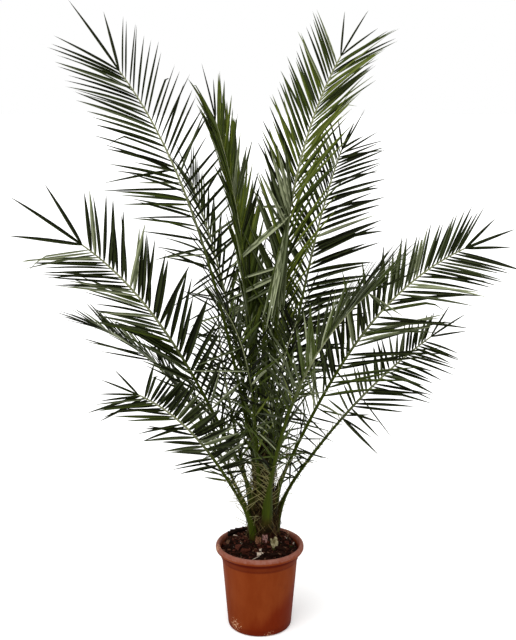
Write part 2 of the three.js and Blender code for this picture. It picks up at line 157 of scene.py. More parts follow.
def shaderGroup(name, inputs, output):
    tree = bpy.data.node_groups.new(name, "ShaderNodeTree")
    for label, value in inputs.items():
        kind = "NodeSocketFloat" if isinstance(value, float) else "NodeSocketVector"
        tree.interface.new_socket(name=label, in_out="INPUT", socket_type=kind).default_value = value
    tree.interface.new_socket(name=output, in_out="OUTPUT", socket_type="NodeSocketFloat")
    return tree, tree.nodes.new("NodeGroupInput").outputs, tree.nodes.new("NodeGroupOutput").inputs[0]


def makePatchyTone():  # soft patches between 0 and 1
    tree, given, out = shaderGroup(
        "patchyTone", {"Vector": (0, 0, 0), "Scale": 10.0, "Low": 0.35, "High": 0.65}, "Tone")
    tone = cloud(tree, given["Vector"], given["Scale"], 5.0, 0.6)
    tree.links.new(remap(tree, tone, given["Low"], given["High"]), out)
    return tree


def makeLongFibres():  # streaks that run along the third axis
    tree, given, out = shaderGroup(
        "longFibres", {"Vector": (0, 0, 0), "Across": 600.0, "Along": 30.0}, "Streak")
    stretch = addNode(tree, "ShaderNodeCombineXYZ", None,
                      {"X": given["Across"], "Y": given["Across"], "Z": given["Along"]})
    drawn = addNode(tree, "ShaderNodeVectorMath", {"operation": "MULTIPLY"},
                    {0: given["Vector"], 1: stretch.outputs[0]})
    streak = cloud(tree, drawn.outputs[0], 1.0, 4.0, 0.65)
    tree.links.new(remap(tree, streak, 0.3, 0.7, kind="LINEAR"), out)
    return tree


def makeDustAndSheenOnTop():  # dust with painted sheen, on what faces up, in patches
    tree, given, out = shaderGroup(
        "dustAndSheenOnTop", {"Vector": (0, 0, 0), "Scale": 40.0, "Amount": 0.5}, "Mask")
    facing = addNode(tree, "ShaderNodeSeparateXYZ", None,
                     {0: addNode(tree, "ShaderNodeNewGeometry").outputs["Normal"]})
    upward = remap(tree, facing.outputs["Z"], 0.0, 0.9)
    patch = remap(tree, cloud(tree, given["Vector"], given["Scale"], 6.0, 0.7), 0.3, 0.7, kind="LINEAR")
    tree.links.new(multiply(tree, multiply(tree, upward, patch), given["Amount"]), out)
    return tree


def makeScuffs():  # small pale specks within a ball round one spot
    tree, given, out = shaderGroup(
        "scuffs", {"Vector": (0, 0, 0), "Spot": (0, 0, 0), "Reach": 0.05, "Scale": 260.0}, "Mask")
    away = addNode(tree, "ShaderNodeVectorMath", {"operation": "DISTANCE"},
                   {0: given["Vector"], 1: given["Spot"]})
    near = remap(tree, away.outputs["Value"], given["Reach"], 0.0, (0.0, 0.31))
    raised = addNode(tree, "ShaderNodeMath", {"operation": "ADD"},
                     {0: cloud(tree, given["Vector"], given["Scale"], 3.0, 0.6), 1: near})
    tree.links.new(remap(tree, raised.outputs[0], 0.77, 0.86), out)
    return tree


def makeHeightBand():  # 1 between two heights, with a soft edge
    tree, given, out = shaderGroup(
        "heightBand", {"Vector": (0, 0, 0), "Bottom": 0.0, "Top": 0.1, "Edge": 0.004}, "Mask")
    height = addNode(tree, "ShaderNodeSeparateXYZ", None, {0: given["Vector"]}).outputs["Z"]
    masks = []
    for limit, operation in (("Bottom", "SUBTRACT"), ("Top", "ADD")):
        outer = addNode(tree, "ShaderNodeMath", {"operation": operation}, {0: given[limit], 1: given["Edge"]})
        masks.append(remap(tree, height, outer.outputs[0], given[limit]))
    tree.links.new(multiply(tree, *masks), out)
    return tree


patchyTone, longFibres = makePatchyTone(), makeLongFibres()
dustAndSheenOnTop, scuffs, heightBand = makeDustAndSheenOnTop(), makeScuffs(), makeHeightBand()


def placeGroup(tree, group, sockets):
    return addNode(tree, "ShaderNodeGroup", {"node_tree": group}, sockets).outputs[0]


def patches(tree, at, scale, low, high):
    return placeGroup(tree, patchyTone, {"Vector": at, "Scale": scale, "Low": low, "High": high})


def band(tree, at, bottom, top, edge):
    return placeGroup(tree, heightBand, {"Vector": at, "Bottom": bottom, "Top": top, "Edge": edge})


def setBump(tree, surface, height, strength, distance):
    bump = addNode(tree, "ShaderNodeBump", None,
                   {"Height": height, "Strength": strength, "Distance": distance})
    tree.links.new(bump.outputs[0], surface["Normal"])


plainLook = {
    "patches": (0.3, 0.7),
    "roughnessSpread": 0.06,
    "specularTint": (0.95, 1, 0.7, 1),
}


def plainTint(name, colour, roughness, specular, depth, scale):  # one base colour, deeper in places
    material, tree, surface, at = newMaterial(name, roughness, specular)
    tone = patches(tree, at, scale, *plainLook["patches"])
    deeper = tuple(c * depth for c in colour[:3]) + (1,)
    tree.links.new(mixColour(tree, tone, deeper, colour), surface["Base Color"])
    spread = plainLook["roughnessSpread"]
    rough = remap(tree, tone, 0.0, 1.0, (roughness + spread, roughness - spread), "LINEAR")
    tree.links.new(rough, surface["Roughness"])
    surface["Specular Tint"].default_value = plainLook["specularTint"]
    return material


def finishPiece(piece, name, nodes, smoothAngle=None):
    piece.name = name
    piece.data.name = name
    if smoothAngle is not None:
        bpy.ops.object.select_all(action="DESELECT")
        piece.select_set(True)
        bpy.context.view_layer.objects.active = piece
        bpy.ops.object.shade_smooth_by_angle(angle=math.radians(smoothAngle))
    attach(piece, "root")
    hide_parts(*nodes)


def meshPiece(parts, faces, materials, tints=None):  # parts are lists of points in mm
    mesh = bpy.data.meshes.new("piece")
    mesh.from_pydata((np.concatenate(parts) * mm).tolist(), [], faces)
    for material in materials:
        mesh.materials.append(material)
    if tints is not None:
        mesh.polygons.foreach_set("material_index", np.asarray(tints, dtype=np.int32))
    mesh.update()
    piece = bpy.data.objects.new("piece", mesh)
    bpy.context.collection.objects.link(piece)
    return piece


def turnedShape(rings, sides):  # a disc that is drawn up ring by ring, mm
    bpy.ops.object.select_all(action="DESELECT")
    radius, height = rings[0]
    bpy.ops.mesh.primitive_circle_add(
        vertices=sides, radius=radius * mm, fill_type="NGON", location=(0, 0, 0))
    piece = bpy.context.object
    bpy.ops.object.mode_set(mode="EDIT")
    bpy.ops.mesh.select_all(action="SELECT")
    bpy.ops.transform.translate(value=(0, 0, height * mm))
    for nextRadius, nextHeight in rings[1:]:
        bpy.ops.mesh.extrude_region_move(
            TRANSFORM_OT_translate={"value": (0, 0, (nextHeight - height) * mm)})
        share = nextRadius / radius
        bpy.ops.transform.resize(value=(share, share, 1), center_override=(0, 0, nextHeight * mm))
        radius, height = nextRadius, nextHeight
    bpy.ops.mesh.select_all(action="SELECT")
    bpy.ops.mesh.normals_make_consistent(inside=False)
    bpy.ops.object.mode_set(mode="OBJECT")
    return piece


potShape = {
    "sides": 96,
    # radius and height: under the floor, up the outside, over the rolled rim and down the inside
    "rings": [
        (74, 2.5), (77, 2.5), (78.6, 1), (80.5, 0), (83.5, 0), (87.5, 0.6), (90.6, 2.4), (92.8, 5.6),
        (93.8, 10), (94.6, 20), (97.6, 56), (101.4, 102), (105.2, 148), (108.8, 192), (110.2, 210),
        (110.6, 212.4), (113, 213.6), (113.6, 215.4), (114.2, 226), (114.7, 232.6), (115.8, 235.2),
        (118.6, 236.2), (123.6, 236.2), (126.8, 237.6), (128.6, 240.8), (129, 245), (128.5, 249.4),
        (126.8, 252.8), (123.8, 254.8), (120.6, 255), (117.8, 253.4), (116, 250), (114.8, 245),
        (112.6, 230), (111, 216), (107.8, 212), (104, 170), (99, 110), (94, 50), (91.4, 14), (89, 6), (84, 4),
    ],
    "body": paint(115, 50, 17),
    "deep": paint(106, 42, 11),
    "lowTone": paint(94, 24, 2),
    # painted shade under the rim and below the collar, and a darker band round the foot
    "rimShadeAndFootDark": paint(74, 14, 4),
    # dust, with painted sheen on the rim's top
    "dustAndSheen": paint(138, 98, 88),
    "speck": paint(178, 136, 104),
    "soilMark": paint(64, 32, 16),
    "roughness": (0.66, 0.52),
    "specular": 0.025,
    "drawnOut": (1, 1, 0.35),  # the tone's patches stand upright
    "tone": (16.0, 0.36, 0.64),  # scale, low and high of the patches
    "lowSlope": (0.95, 0, -1),  # the darker foot rises to the right
    "lowEdge": (-0.098, -0.028),
    "lowUneven": -0.025,
    "lowStrength": 0.85,
    "soilMarks": (60.0, 0.56, 0.75),
    "soilMarkStrength": 0.16,
    # bottom, top, soft edge and strength of the painted shade under the rim and below the collar, and of a
    # darker band round the foot
    "rimShadeAndFootBands": [(0.2135, 0.236, 0.003, 0.45), (0.2265, 0.236, 0.004, 0.85), (0.2085, 0.2125, 0.003, 0.55),
                   (0.006, 0.016, 0.012, 0.35)],
    "rimBand": (0.2465, 0.262, 0.005),
    "rimWearAndSheen": (90.0, 0.1, 0.9),
    "rimWearAndSheenStrength": 0.8,
    "topDustAndSheen": {"Scale": 55.0, "Amount": 0.6},
    "scuffScale": 240.0,
    "scuffSpots": [((-0.071, -0.064, 0.026), 0.046), ((0.03, -0.09, 0.004), 0.034),
                   ((-0.118, -0.03, 0.252), 0.05), ((0.09, 0.085, 0.248), 0.04), ((0.02, 0.095, 0.02), 0.05)],
    "grain": (420.0, 3.0, 0.5),
    "grainBump": (0.12, 0.0006),
    "smoothAngle": 38,
}


def makePotMaterial():
    shape = potShape
    material, tree, surface, at = newMaterial("terracottaPlastic", shape["roughness"][0], shape["specular"])
    drawn = addNode(tree, "ShaderNodeMapping", None, {"Vector": at, "Scale": shape["drawnOut"]})
    tone = patches(tree, drawn.outputs[0], *shape["tone"])
    colour = mixColour(tree, tone, shape["deep"], shape["body"])
    # darker towards the foot, the edge rising to the right
    slant = addNode(tree, "ShaderNodeVectorMath", {"operation": "DOT_PRODUCT"},
                    {0: at, 1: shape["lowSlope"]})
    uneven = addNode(tree, "ShaderNodeMath", {"operation": "MULTIPLY_ADD"},
                     {0: tone, 1: shape["lowUneven"], 2: slant.outputs["Value"]})
    below = remap(tree, uneven.outputs[0], *shape["lowEdge"], (0.0, shape["lowStrength"]))
    colour = mixColour(tree, below, colour, shape["lowTone"])
    marks = multiply(tree, patches(tree, at, *shape["soilMarks"]), shape["soilMarkStrength"])
    colour = mixColour(tree, marks, colour, shape["soilMark"])
    # painted shade under the rim and in the step below the collar; a darker band round the foot
    for bottom, top, edge, strength in shape["rimShadeAndFootBands"]:
        share = multiply(tree, band(tree, at, bottom, top, edge), strength)
        colour = mixColour(tree, share, colour, shape["rimShadeAndFootDark"])
    # dust, wear and painted sheen on the top of the rim
    wornAndSheen = multiply(tree, band(tree, at, *shape["rimBand"]), patches(tree, at, *shape["rimWearAndSheen"]))
    colour = mixColour(tree, multiply(tree, wornAndSheen, shape["rimWearAndSheenStrength"]), colour, shape["dustAndSheen"])
    # dust and painted sheen on what faces up
    topDustAndSheen = placeGroup(tree, dustAndSheenOnTop, {"Vector": at, **shape["topDustAndSheen"]})
    colour = mixColour(tree, topDustAndSheen, colour, shape["dustAndSheen"])
    for spot, reach in shape["scuffSpots"]:
        speck = placeGroup(tree, scuffs, {
            "Vector": at, "Spot": spot, "Reach": reach, "Scale": shape["scuffScale"]})
        colour = mixColour(tree, speck, colour, shape["speck"])
    tree.links.new(colour, surface["Base Color"])
    tree.links.new(remap(tree, tone, 0.0, 1.0, shape["roughness"], "LINEAR"), surface["Roughness"])
    setBump(tree, surface, cloud(tree, at, *shape["grain"]), *shape["grainBump"])
    return material


def makePot():
    pot = turnedShape(potShape["rings"], potShape["sides"])
    pot.data.materials.append(makePotMaterial())
    finishPiece(pot, "pot_body", ["pot"], potShape["smoothAngle"])


makePot()
print("pot made")


soilShape = {
    "sides": 120,
    "rings": [(97, 110), (105.4, 205), (109.8, 218), (110.6, 234)],
    "insets": 30,
    "insetStep": 3.5,
    "top": 254,
    "shoulder": 76,  # the soil falls from here to the wall
    "wallDrop": (18, 7),  # at the front and at the back
    "backFade": (0.1, 0.6),
    "fallCurve": 1.5,
    "lumps": ((3.0, 17, 3.1), (1.8, 6, 7.7)),  # height, spread and seed
    "lumpFade": 0.6,  # towards the wall
    "heap": (15, 44, 20),  # height against the trunk, its radius and the fall outside it
    "dark": paint(19, 8, 5),
    "brown": paint(62, 31, 22),
    "surface": (0.9, 0.04),  # roughness and gloss
    "coarse": (90.0, 0.35, 0.65),
    "fine": (420.0, 0.4, 0.62),
    "bump": (0.9, 0.004),
    "smoothAngle": 60,
}


def soilHeight(x, y):  # mm
    shape = soilShape
    radius = math.hypot(x, y)
    fall = max(0.0, (radius - shape["shoulder"]) / (shape["rings"][-1][0] - shape["shoulder"]))
    lumps = sum(high * noise.noise((x / wide, y / wide, seed)) for high, wide, seed in shape["lumps"])
    height, inside, spread = shape["heap"]
    away = max(0.0, math.hypot(x - plantFoot[0], y - plantFoot[1]) - inside)
    heap = height * math.exp(-(away / spread) ** 2)
    drop = lerp(*shape["wallDrop"], easing(y / max(radius, 1), *shape["backFade"]))
    return shape["top"] - drop * fall ** shape["fallCurve"] + lumps * (1 - shape["lumpFade"] * fall) + heap


def makeSoil():
    soil = turnedShape(soilShape["rings"], soilShape["sides"])
    bpy.ops.object.mode_set(mode="EDIT")
    bpy.ops.mesh.select_all(action="DESELECT")
    bpy.ops.object.mode_set(mode="OBJECT")
    for face in soil.data.polygons:
        face.select = face.normal.z > 0.9
    bpy.ops.object.mode_set(mode="EDIT")
    bpy.ops.mesh.select_mode(type="FACE")
    for _ in range(soilShape["insets"]):
        bpy.ops.mesh.inset(thickness=soilShape["insetStep"] * mm)
    bpy.ops.object.mode_set(mode="OBJECT")
    edge, height = soilShape["rings"][-1]
    for vertex in soil.data.vertices:  # all of the top but its edge
        x, y = vertex.co.x / mm, vertex.co.y / mm
        if vertex.co.z > (height - 1) * mm and math.hypot(x, y) < edge - 1:
            vertex.co.z = soilHeight(x, y) * mm
    material, tree, surface, at = newMaterial("pottingSoil", *soilShape["surface"])
    fine = patches(tree, at, *soilShape["fine"])
    tone = multiply(tree, patches(tree, at, *soilShape["coarse"]), fine)
    tree.links.new(mixColour(tree, tone, soilShape["dark"], soilShape["brown"]), surface["Base Color"])
    setBump(tree, surface, fine, *soilShape["bump"])
    soil.data.materials.append(material)
    finishPiece(soil, "soil_bed", ["soil"], soilShape["smoothAngle"])


makeSoil()
print("soil made")


chipShape = {
    "tints": {  # screen colour and share of the chips
        "darkBark": (paint(28, 12, 8), 0.58),
        "redBark": (paint(66, 31, 22), 0.26),
        "rustBark": (paint(84, 44, 34), 0.08),
        "tanBark": (paint(100, 72, 54), 0.045),
        "mossBit": (paint(28, 38, 12), 0.02),
        "paleWood": (paint(186, 170, 152), 0.015),
    },
    "sizes": [(1500, 2.0, 6.5, 0.15), (1300, 0.9, 2.4, 0.3)],  # count, smallest, largest, how deep they sit
    "reach": 107,
    "clear": 0.02,  # share of the soil without chips, round the middle
    "width": (0.2, 0.65),  # to the length
    "thickness": (0.2, 0.5),
    "tilt": 35,
    "taper": (0.25, 1),
    "unevenness": 0.3,
    "lift": 0.4,
    "single": {"taper": 0.3, "unevenness": 0.22, "lift": 3},
    "surface": (0.85, 0.06, 0.55, 160.0),  # roughness, gloss, depth and scale of the deeper patches
    "seed": 21,
    # chips that show by themselves: x, y, three half sizes, turn, tilt, tint
    "singles": [
        (-86, 58, 10, 6, 7, 20, 25, "darkBark"), (-72, 46, 6, 2, 1, -25, 25, "paleWood"),
        (3, -80, 13, 6, 0.8, 20, 34, "paleWood"), (-7, -94, 17, 1.3, 0.8, 48, 12, "paleWood"),
        (100, 10, 4, 2, 2, 70, 10, "paleWood"), (92, -20, 5, 3, 2, 10, 20, "mossBit"),
        (-40, -70, 12, 7, 5, 15, 15, "redBark"), (-60, -45, 11, 8, 6, 60, 20, "rustBark"),
        (60, -55, 13, 7, 5, -25, 12, "darkBark"), (40, -84, 14, 8, 4, 20, 10, "darkBark"),
        (68, -72, 12, 7, 4, -50, 15, "darkBark"), (-92, 5, 9, 5, 4, 80, 25, "tanBark"),
        (-74, 76, 13, 7, 6, 40, 20, "darkBark"), (-58, 88, 14, 7, 6, 15, 15, "darkBark"),
        (-40, 94, 12, 6, 5, 5, 20, "darkBark"),
    ],
}


def chipPoints(draw, place, halves, turn, tilt, taper, unevenness):
    corners = np.array([(x, y, z) for z in (-1, 1) for y in (-1, 1) for x in (-1, 1)], float)
    corners *= 1 + draw.uniform(-unevenness, unevenness, corners.shape)
    corners[corners[:, 0] > 0, 1:] *= taper  # chips narrow to one end
    corners *= halves
    a, b = math.radians(turn), math.radians(tilt)
    flat = np.array([[math.cos(a), -math.sin(a), 0], [math.sin(a), math.cos(a), 0], [0, 0, 1]])
    tip = np.array([[1, 0, 0], [0, math.cos(b), -math.sin(b)], [0, math.sin(b), math.cos(b)]])
    return corners @ tip.T @ flat.T + place


chipFaces = [(0, 2, 3, 1), (4, 5, 7, 6), (0, 1, 5, 4), (2, 6, 7, 3), (0, 4, 6, 2), (1, 3, 7, 5)]


def makeChips():
    shape = chipShape
    draw = np.random.default_rng(shape["seed"])
    names = list(shape["tints"])
    shares = [share for _, share in shape["tints"].values()]
    points, tints = [], []
    for count, smallest, largest, sink in shape["sizes"]:
        for _ in range(count):
            radius = shape["reach"] * math.sqrt(draw.uniform(shape["clear"], 1))
            angle = draw.uniform(0, 2 * math.pi)
            x, y = radius * math.cos(angle), radius * math.sin(angle)
            size = lerp(smallest, largest, draw.uniform(0, 1) ** 2)
            halves = size * np.array([1, draw.uniform(*shape["width"]), draw.uniform(*shape["thickness"])])
            lift = halves[2] * (1 - 2 * sink) + shape["lift"]
            place = (x, y, soilHeight(x, y) + lift)
            turn, tilt = draw.uniform(0, 360), draw.uniform(-shape["tilt"], shape["tilt"])
            taper = draw.uniform(*shape["taper"])
            points.append(chipPoints(draw, place, halves, turn, tilt, taper, shape["unevenness"]))
            tints.append(draw.choice(len(names), p=shares))
    single = shape["single"]
    for x, y, a, b, c, turn, tilt, tint in shape["singles"]:
        place = (x, y, soilHeight(x, y) + c + single["lift"])
        points.append(chipPoints(draw, place, (a, b, c), turn, tilt, single["taper"], single["unevenness"]))
        tints.append(names.index(tint))
    faces = [tuple(8 * i + k for k in face) for i in range(len(points)) for face in chipFaces]
    materials = [plainTint(name, tone, *shape["surface"]) for name, (tone, _) in shape["tints"].items()]
    chips = meshPiece(points, faces, materials, np.repeat(tints, len(chipFaces)))
    finishPiece(chips, "bark_chips", ["soil"])


makeChips()
print("bark chips made")


trunkShape = {
    "height": 300,
    "radius": (41, 12),  # at the soil and at the tip
    "flare": (5, 15),
    "sides": 96,
    "ringStep": 5,
    "relief": 4.5,
    "ridges": (7, 45),  # fineness round the trunk, length along it
    "threads": (21, 24),
    "threadDepth": 0.6,
    "calmFoot": 20,
    "thinnest": 0.4,  # of the radius
    "light": paint(52, 40, 20),
    "middle": paint(26, 18, 8),
    "dark": paint(6, 3, 1),
    "footRed": paint(60, 22, 18),  # damp bark low on the trunk
    "footBand": (-0.05, 0.05, 0.045),  # bottom and top from the soil, soft edge
    "surface": (0.9, 0.03),
    "fibres": {"Across": 420.0, "Along": 34.0},
    "patches": (45.0, 0.35, 0.65),
    "bump": (0.8, 0.003),
    "smoothAngle": 50,
}


def trunkRadius(height):
    foot, tip = trunkShape["radius"]
    flare, fade = trunkShape["flare"]
    return tip + (foot - tip) * (1 - height / trunkShape["height"]) + flare * np.exp(-height / fade)


def makeBarkMaterial():
    shape = trunkShape
    material, tree, surface, at = newMaterial("leafBaseFibre", *shape["surface"])
    streak = placeGroup(tree, longFibres, {"Vector": at, **shape["fibres"]})
    colour = mixColour(tree, streak, shape["dark"], shape["middle"])
    light = multiply(tree, streak, patches(tree, at, *shape["patches"]))
    colour = mixColour(tree, light, colour, shape["light"])
    soilLevel = float(plantFoot[2]) * mm
    bottom, top, edge = shape["footBand"]
    lowTone = multiply(tree, band(tree, at, soilLevel + bottom, soilLevel + top, edge), streak)
    tree.links.new(mixColour(tree, lowTone, colour, shape["footRed"]), surface["Base Color"])
    setBump(tree, surface, streak, *shape["bump"])
    return material


def makeTrunk():
    shape = trunkShape
    heights = np.append(np.arange(0, shape["height"], shape["ringStep"]), shape["height"])
    trunk = turnedShape([(float(trunkRadius(h)), float(h)) for h in heights], shape["sides"])

    def relief(angle, z, fineness, length):
        return noise.noise((math.cos(angle) * fineness, math.sin(angle) * fineness, z / length))

    for vertex in trunk.data.vertices:  # ridges and hollows, inwards only
        x, y, z = vertex.co / mm
        angle, radius = math.atan2(y, x), math.hypot(x, y)
        ridge, fibre = relief(angle, z, *shape["ridges"]), relief(angle, z, *shape["threads"])
        depth = shape["threadDepth"] + shape["threadDepth"] * abs(fibre)
        cut = shape["relief"] * (0.5 + 0.5 * ridge) * depth * min(1, z / shape["calmFoot"])
        share = max(shape["thinnest"], (radius - cut) / radius) if radius > 1 else 1
        vertex.co = Vector((x * share, y * share, z)) * mm + Vector(plantFoot * mm)
    trunk.data.materials.append(makeBarkMaterial())
    finishPiece(trunk, "trunk_core", ["trunk"], shape["smoothAngle"])


stubShape = {
    "size": (13, 30, 36),  # depth, width and height
    "inside": 0.6,  # of the depth again, within the trunk
    "rounding": 0.8,
    "roundingSteps": 5,
    "cutsAcross": 4,
    "seed": 12,
    "seat": (30, -5),  # height where the trunk's radius counts, how far in from there
    "skin": (0.75, 0.2, 0.4, 120.0),
    "cutSurface": (0.8, 0.2),
    "cutPatches": (150.0, 0.36, 0.6),
    "cutBump": (0.6, 0.0015),
    "smoothAngle": 40,
    "cuts": {  # tone and deeper tone of the cut, tone of the skin
        "pinkCut": (paint(136, 100, 94), paint(56, 28, 24), paint(40, 16, 12)),
        "tanCut": (paint(108, 72, 48), paint(50, 26, 16), paint(50, 26, 16)),
        "creamCut": (paint(142, 134, 102), paint(76, 68, 38), paint(52, 50, 10)),
    },
    "unevenness": ((0.0036, 110), (0.0018, 300)),  # depth and fineness
    # azimuth, lean outwards, how far out it stands, scale in depth, width and height,
    # width at the foot and at the cut, slope of the cut, cut
    "stubs": [
        (274, 16, 6, (0.8, 1, 0.9), (1.25, 0.5), 1.3, "pinkCut"),
        (252, 24, 12, (0.9, 1, 0.72), (1.2, 0.55), 1.2, "tanCut"),
        (293, 12, 38, (0.6, 0.62, 1.05), (0.3, 1.25), 2.4, "creamCut"),
        (336, 14, -2, (0.9, 0.7, 0.7), (1.3, 0.7), 0.6, "tanCut"),
        (130, 16, 2, (1, 0.9, 0.9), (1.25, 0.9), 0.7, "pinkCut"),
    ],
}


def makeCutMaterial(name, tone, deep):
    material, tree, surface, at = newMaterial(name, *stubShape["cutSurface"])
    patch = patches(tree, at, *stubShape["cutPatches"])
    tree.links.new(mixColour(tree, patch, deep, tone), surface["Base Color"])
    setBump(tree, surface, patch, *stubShape["cutBump"])
    return material


def makeStubs():
    shape = stubShape
    depth, width, height = (size * mm for size in shape["size"])
    bpy.ops.object.select_all(action="DESELECT")
    bpy.ops.mesh.primitive_cube_add(size=1, location=(0, 0, 0))
    stub = bpy.context.object
    bpy.ops.object.mode_set(mode="EDIT")
    bpy.ops.transform.resize(value=(depth * (1 + shape["inside"]), width, height))
    bpy.ops.transform.translate(value=(depth * (1 - shape["inside"]) / 2, 0, height / 2))
    bpy.ops.mesh.select_all(action="DESELECT")
    bpy.ops.object.mode_set(mode="OBJECT")
    for edge in stub.data.edges:  # the two upright edges that face out
        ends = [stub.data.vertices[i].co for i in edge.vertices]
        edge.select = all(end.x > 0 for end in ends) and abs(ends[0].z - ends[1].z) > height / 2
    bpy.ops.object.mode_set(mode="EDIT")
    bpy.ops.mesh.select_mode(type="EDGE")
    bpy.ops.mesh.bevel(offset=depth * shape["rounding"], segments=shape["roundingSteps"])
    bpy.ops.mesh.select_all(action="SELECT")
    bpy.ops.mesh.subdivide(number_cuts=shape["cutsAcross"])
    bpy.ops.object.mode_set(mode="OBJECT")
    cut = [face.normal.z > 0.5 for face in stub.data.polygons]
    materials = {name: (plainTint(name + "Skin", skin, *shape["skin"]),
                        makeCutMaterial(name, tone, deep))
                 for name, (tone, deep, skin) in shape["cuts"].items()}
    level, inward = shape["seat"]
    noise.seed_set(shape["seed"])  # without it noise_vector starts from the clock
    for number, (azimuth, lean, standOff, scale, widths, slope, cutName) in enumerate(shape["stubs"]):
        copy = stub.copy()
        copy.data = stub.data.copy()
        bpy.context.collection.objects.link(copy)
        for material in materials[cutName]:
            copy.data.materials.append(material)
        copy.data.polygons.foreach_set("material_index", np.array(cut, dtype=np.int32))
        turn, tip = math.radians(azimuth), math.radians(lean)
        outward = Vector((math.cos(turn), math.sin(turn), 0))
        sideways = Vector((-math.sin(turn), math.cos(turn), 0))
        rising = outward * math.sin(tip) + Vector((0, 0, math.cos(tip)))
        facing = outward * math.cos(tip) - Vector((0, 0, math.sin(tip)))
        seat = Vector(plantFoot * mm) + outward * float(trunkRadius(level) + inward + standOff) * mm
        for vertex in copy.data.vertices:
            uneven = Vector()
            for amount, fineness in shape["unevenness"]:
                uneven += noise.noise_vector(vertex.co * fineness + Vector((number * 9, 0, 0))) * amount
            x, y, z = (vertex.co[k] * scale[k] + uneven[k] for k in range(3))
            y *= lerp(*widths, vertex.co.z / height)
            z -= slope * (x + depth / 2) * max(0, vertex.co.z / height)  # the slanting cut
            vertex.co = seat + facing * x + sideways * y + rising * z
        finishPiece(copy, f"cut_leaf_base_{number + 1}", ["trunk"], shape["smoothAngle"])
    bpy.data.objects.remove(stub)


makeTrunk()
makeStubs()
print("trunk made")


def tubeFaces(count, rings, sides):  # tubes one after another, each with a cap below and a point above
    faces = []
    for start in range(0, count * (rings * sides + 1), rings * sides + 1):
        for i in range(rings - 1):
            for k in range(sides):
                a, b = start + i * sides + k, start + i * sides + (k + 1) % sides
                faces.append((a, b, b + sides, a + sides))
        tip = start + rings * sides
        last = tip - sides
        faces.extend((last + k, last + (k + 1) % sides, tip) for k in range(sides))
        faces.append(tuple(start + k for k in reversed(range(sides))))
    return faces


def thread(path, halfWidths, sides):  # a thin pointed strand along a path
    along = np.gradient(path, axis=0)
    along /= np.linalg.norm(along, axis=1)[:, None]
    across = np.cross(along, (0.31, 0.22, 0.92))  # any direction that no strand takes
    across /= np.linalg.norm(across, axis=1)[:, None] + 1e-9
    up = np.cross(along, across)
    rings = []
    for i in range(len(path) - 1):
        for k in range(sides):
            angle = 2 * math.pi * k / sides
            rings.append(path[i] + halfWidths[i] * (math.cos(angle) * across[i] + math.sin(angle) * up[i]))
    rings.append(path[-1])
    return np.array(rings)


fibreShape = {
    "count": 760,
    "rings": 5,
    "sides": 3,
    "foot": (8, 250),
    "top": 330,
    "length": (45, 125),
    "lean": (0.15, 0.85),
    "turnRadius": 40,
    "close": (0.5, 5),  # off the trunk
    "loose": (5, 19),  # these wrap the leaf bases
    "closeShare": 0.5,
    "flick": 14,  # how far a loose tip stands off
    "flickShare": 0.4,
    "halfWidth": (0.45, 1),
    "narrowing": 0.6,
    "surface": (0.85, 0.05, 0.5, 90.0),
    "tints": {"brownFibre": paint(58, 42, 22), "darkFibre": paint(14, 9, 4), "paleFibre": paint(102, 89, 56)},
    "mix": (0.5, 0.26, 0.24),
    "seed": 33,
}


def makeFibres():
    shape = fibreShape
    draw = np.random.default_rng(shape["seed"])
    strands, tints = [], []
    shares = np.linspace(0, 1, shape["rings"] + 1)
    for _ in range(shape["count"]):
        height = draw.uniform(*shape["foot"])
        azimuth = draw.uniform(0, 2 * math.pi)
        length = draw.uniform(*shape["length"])
        lean = draw.choice((-1, 1)) * draw.uniform(*shape["lean"])
        gap = shape["close" if draw.uniform() < shape["closeShare"] else "loose"]
        off = draw.uniform(*gap)
        flick = draw.uniform(0, shape["flick"]) * (draw.uniform() < shape["flickShare"])
        heights = np.minimum(height + length * shares * math.cos(lean), shape["top"])
        angles = azimuth + length * shares * math.sin(lean) / shape["turnRadius"]
        radii = trunkRadius(np.minimum(heights, trunkShape["height"] - 5)) + off + flick * shares ** 3
        path = np.stack([radii * np.cos(angles), radii * np.sin(angles), heights], -1) + plantFoot
        halfWidths = draw.uniform(*shape["halfWidth"]) * (1 - shape["narrowing"] * shares)
        strands.append(thread(path, halfWidths, shape["sides"]))
        tints.append(draw.choice(len(shape["mix"]), p=shape["mix"]))
    faces = tubeFaces(len(strands), shape["rings"], shape["sides"])
    materials = [plainTint(name, tone, *shape["surface"]) for name, tone in shape["tints"].items()]
    fibres = meshPiece(strands, faces, materials, np.repeat(tints, len(faces) // len(strands)))
    finishPiece(fibres, "trunk_fibres", ["trunk"])


makeFibres()
print("trunk fibres made")


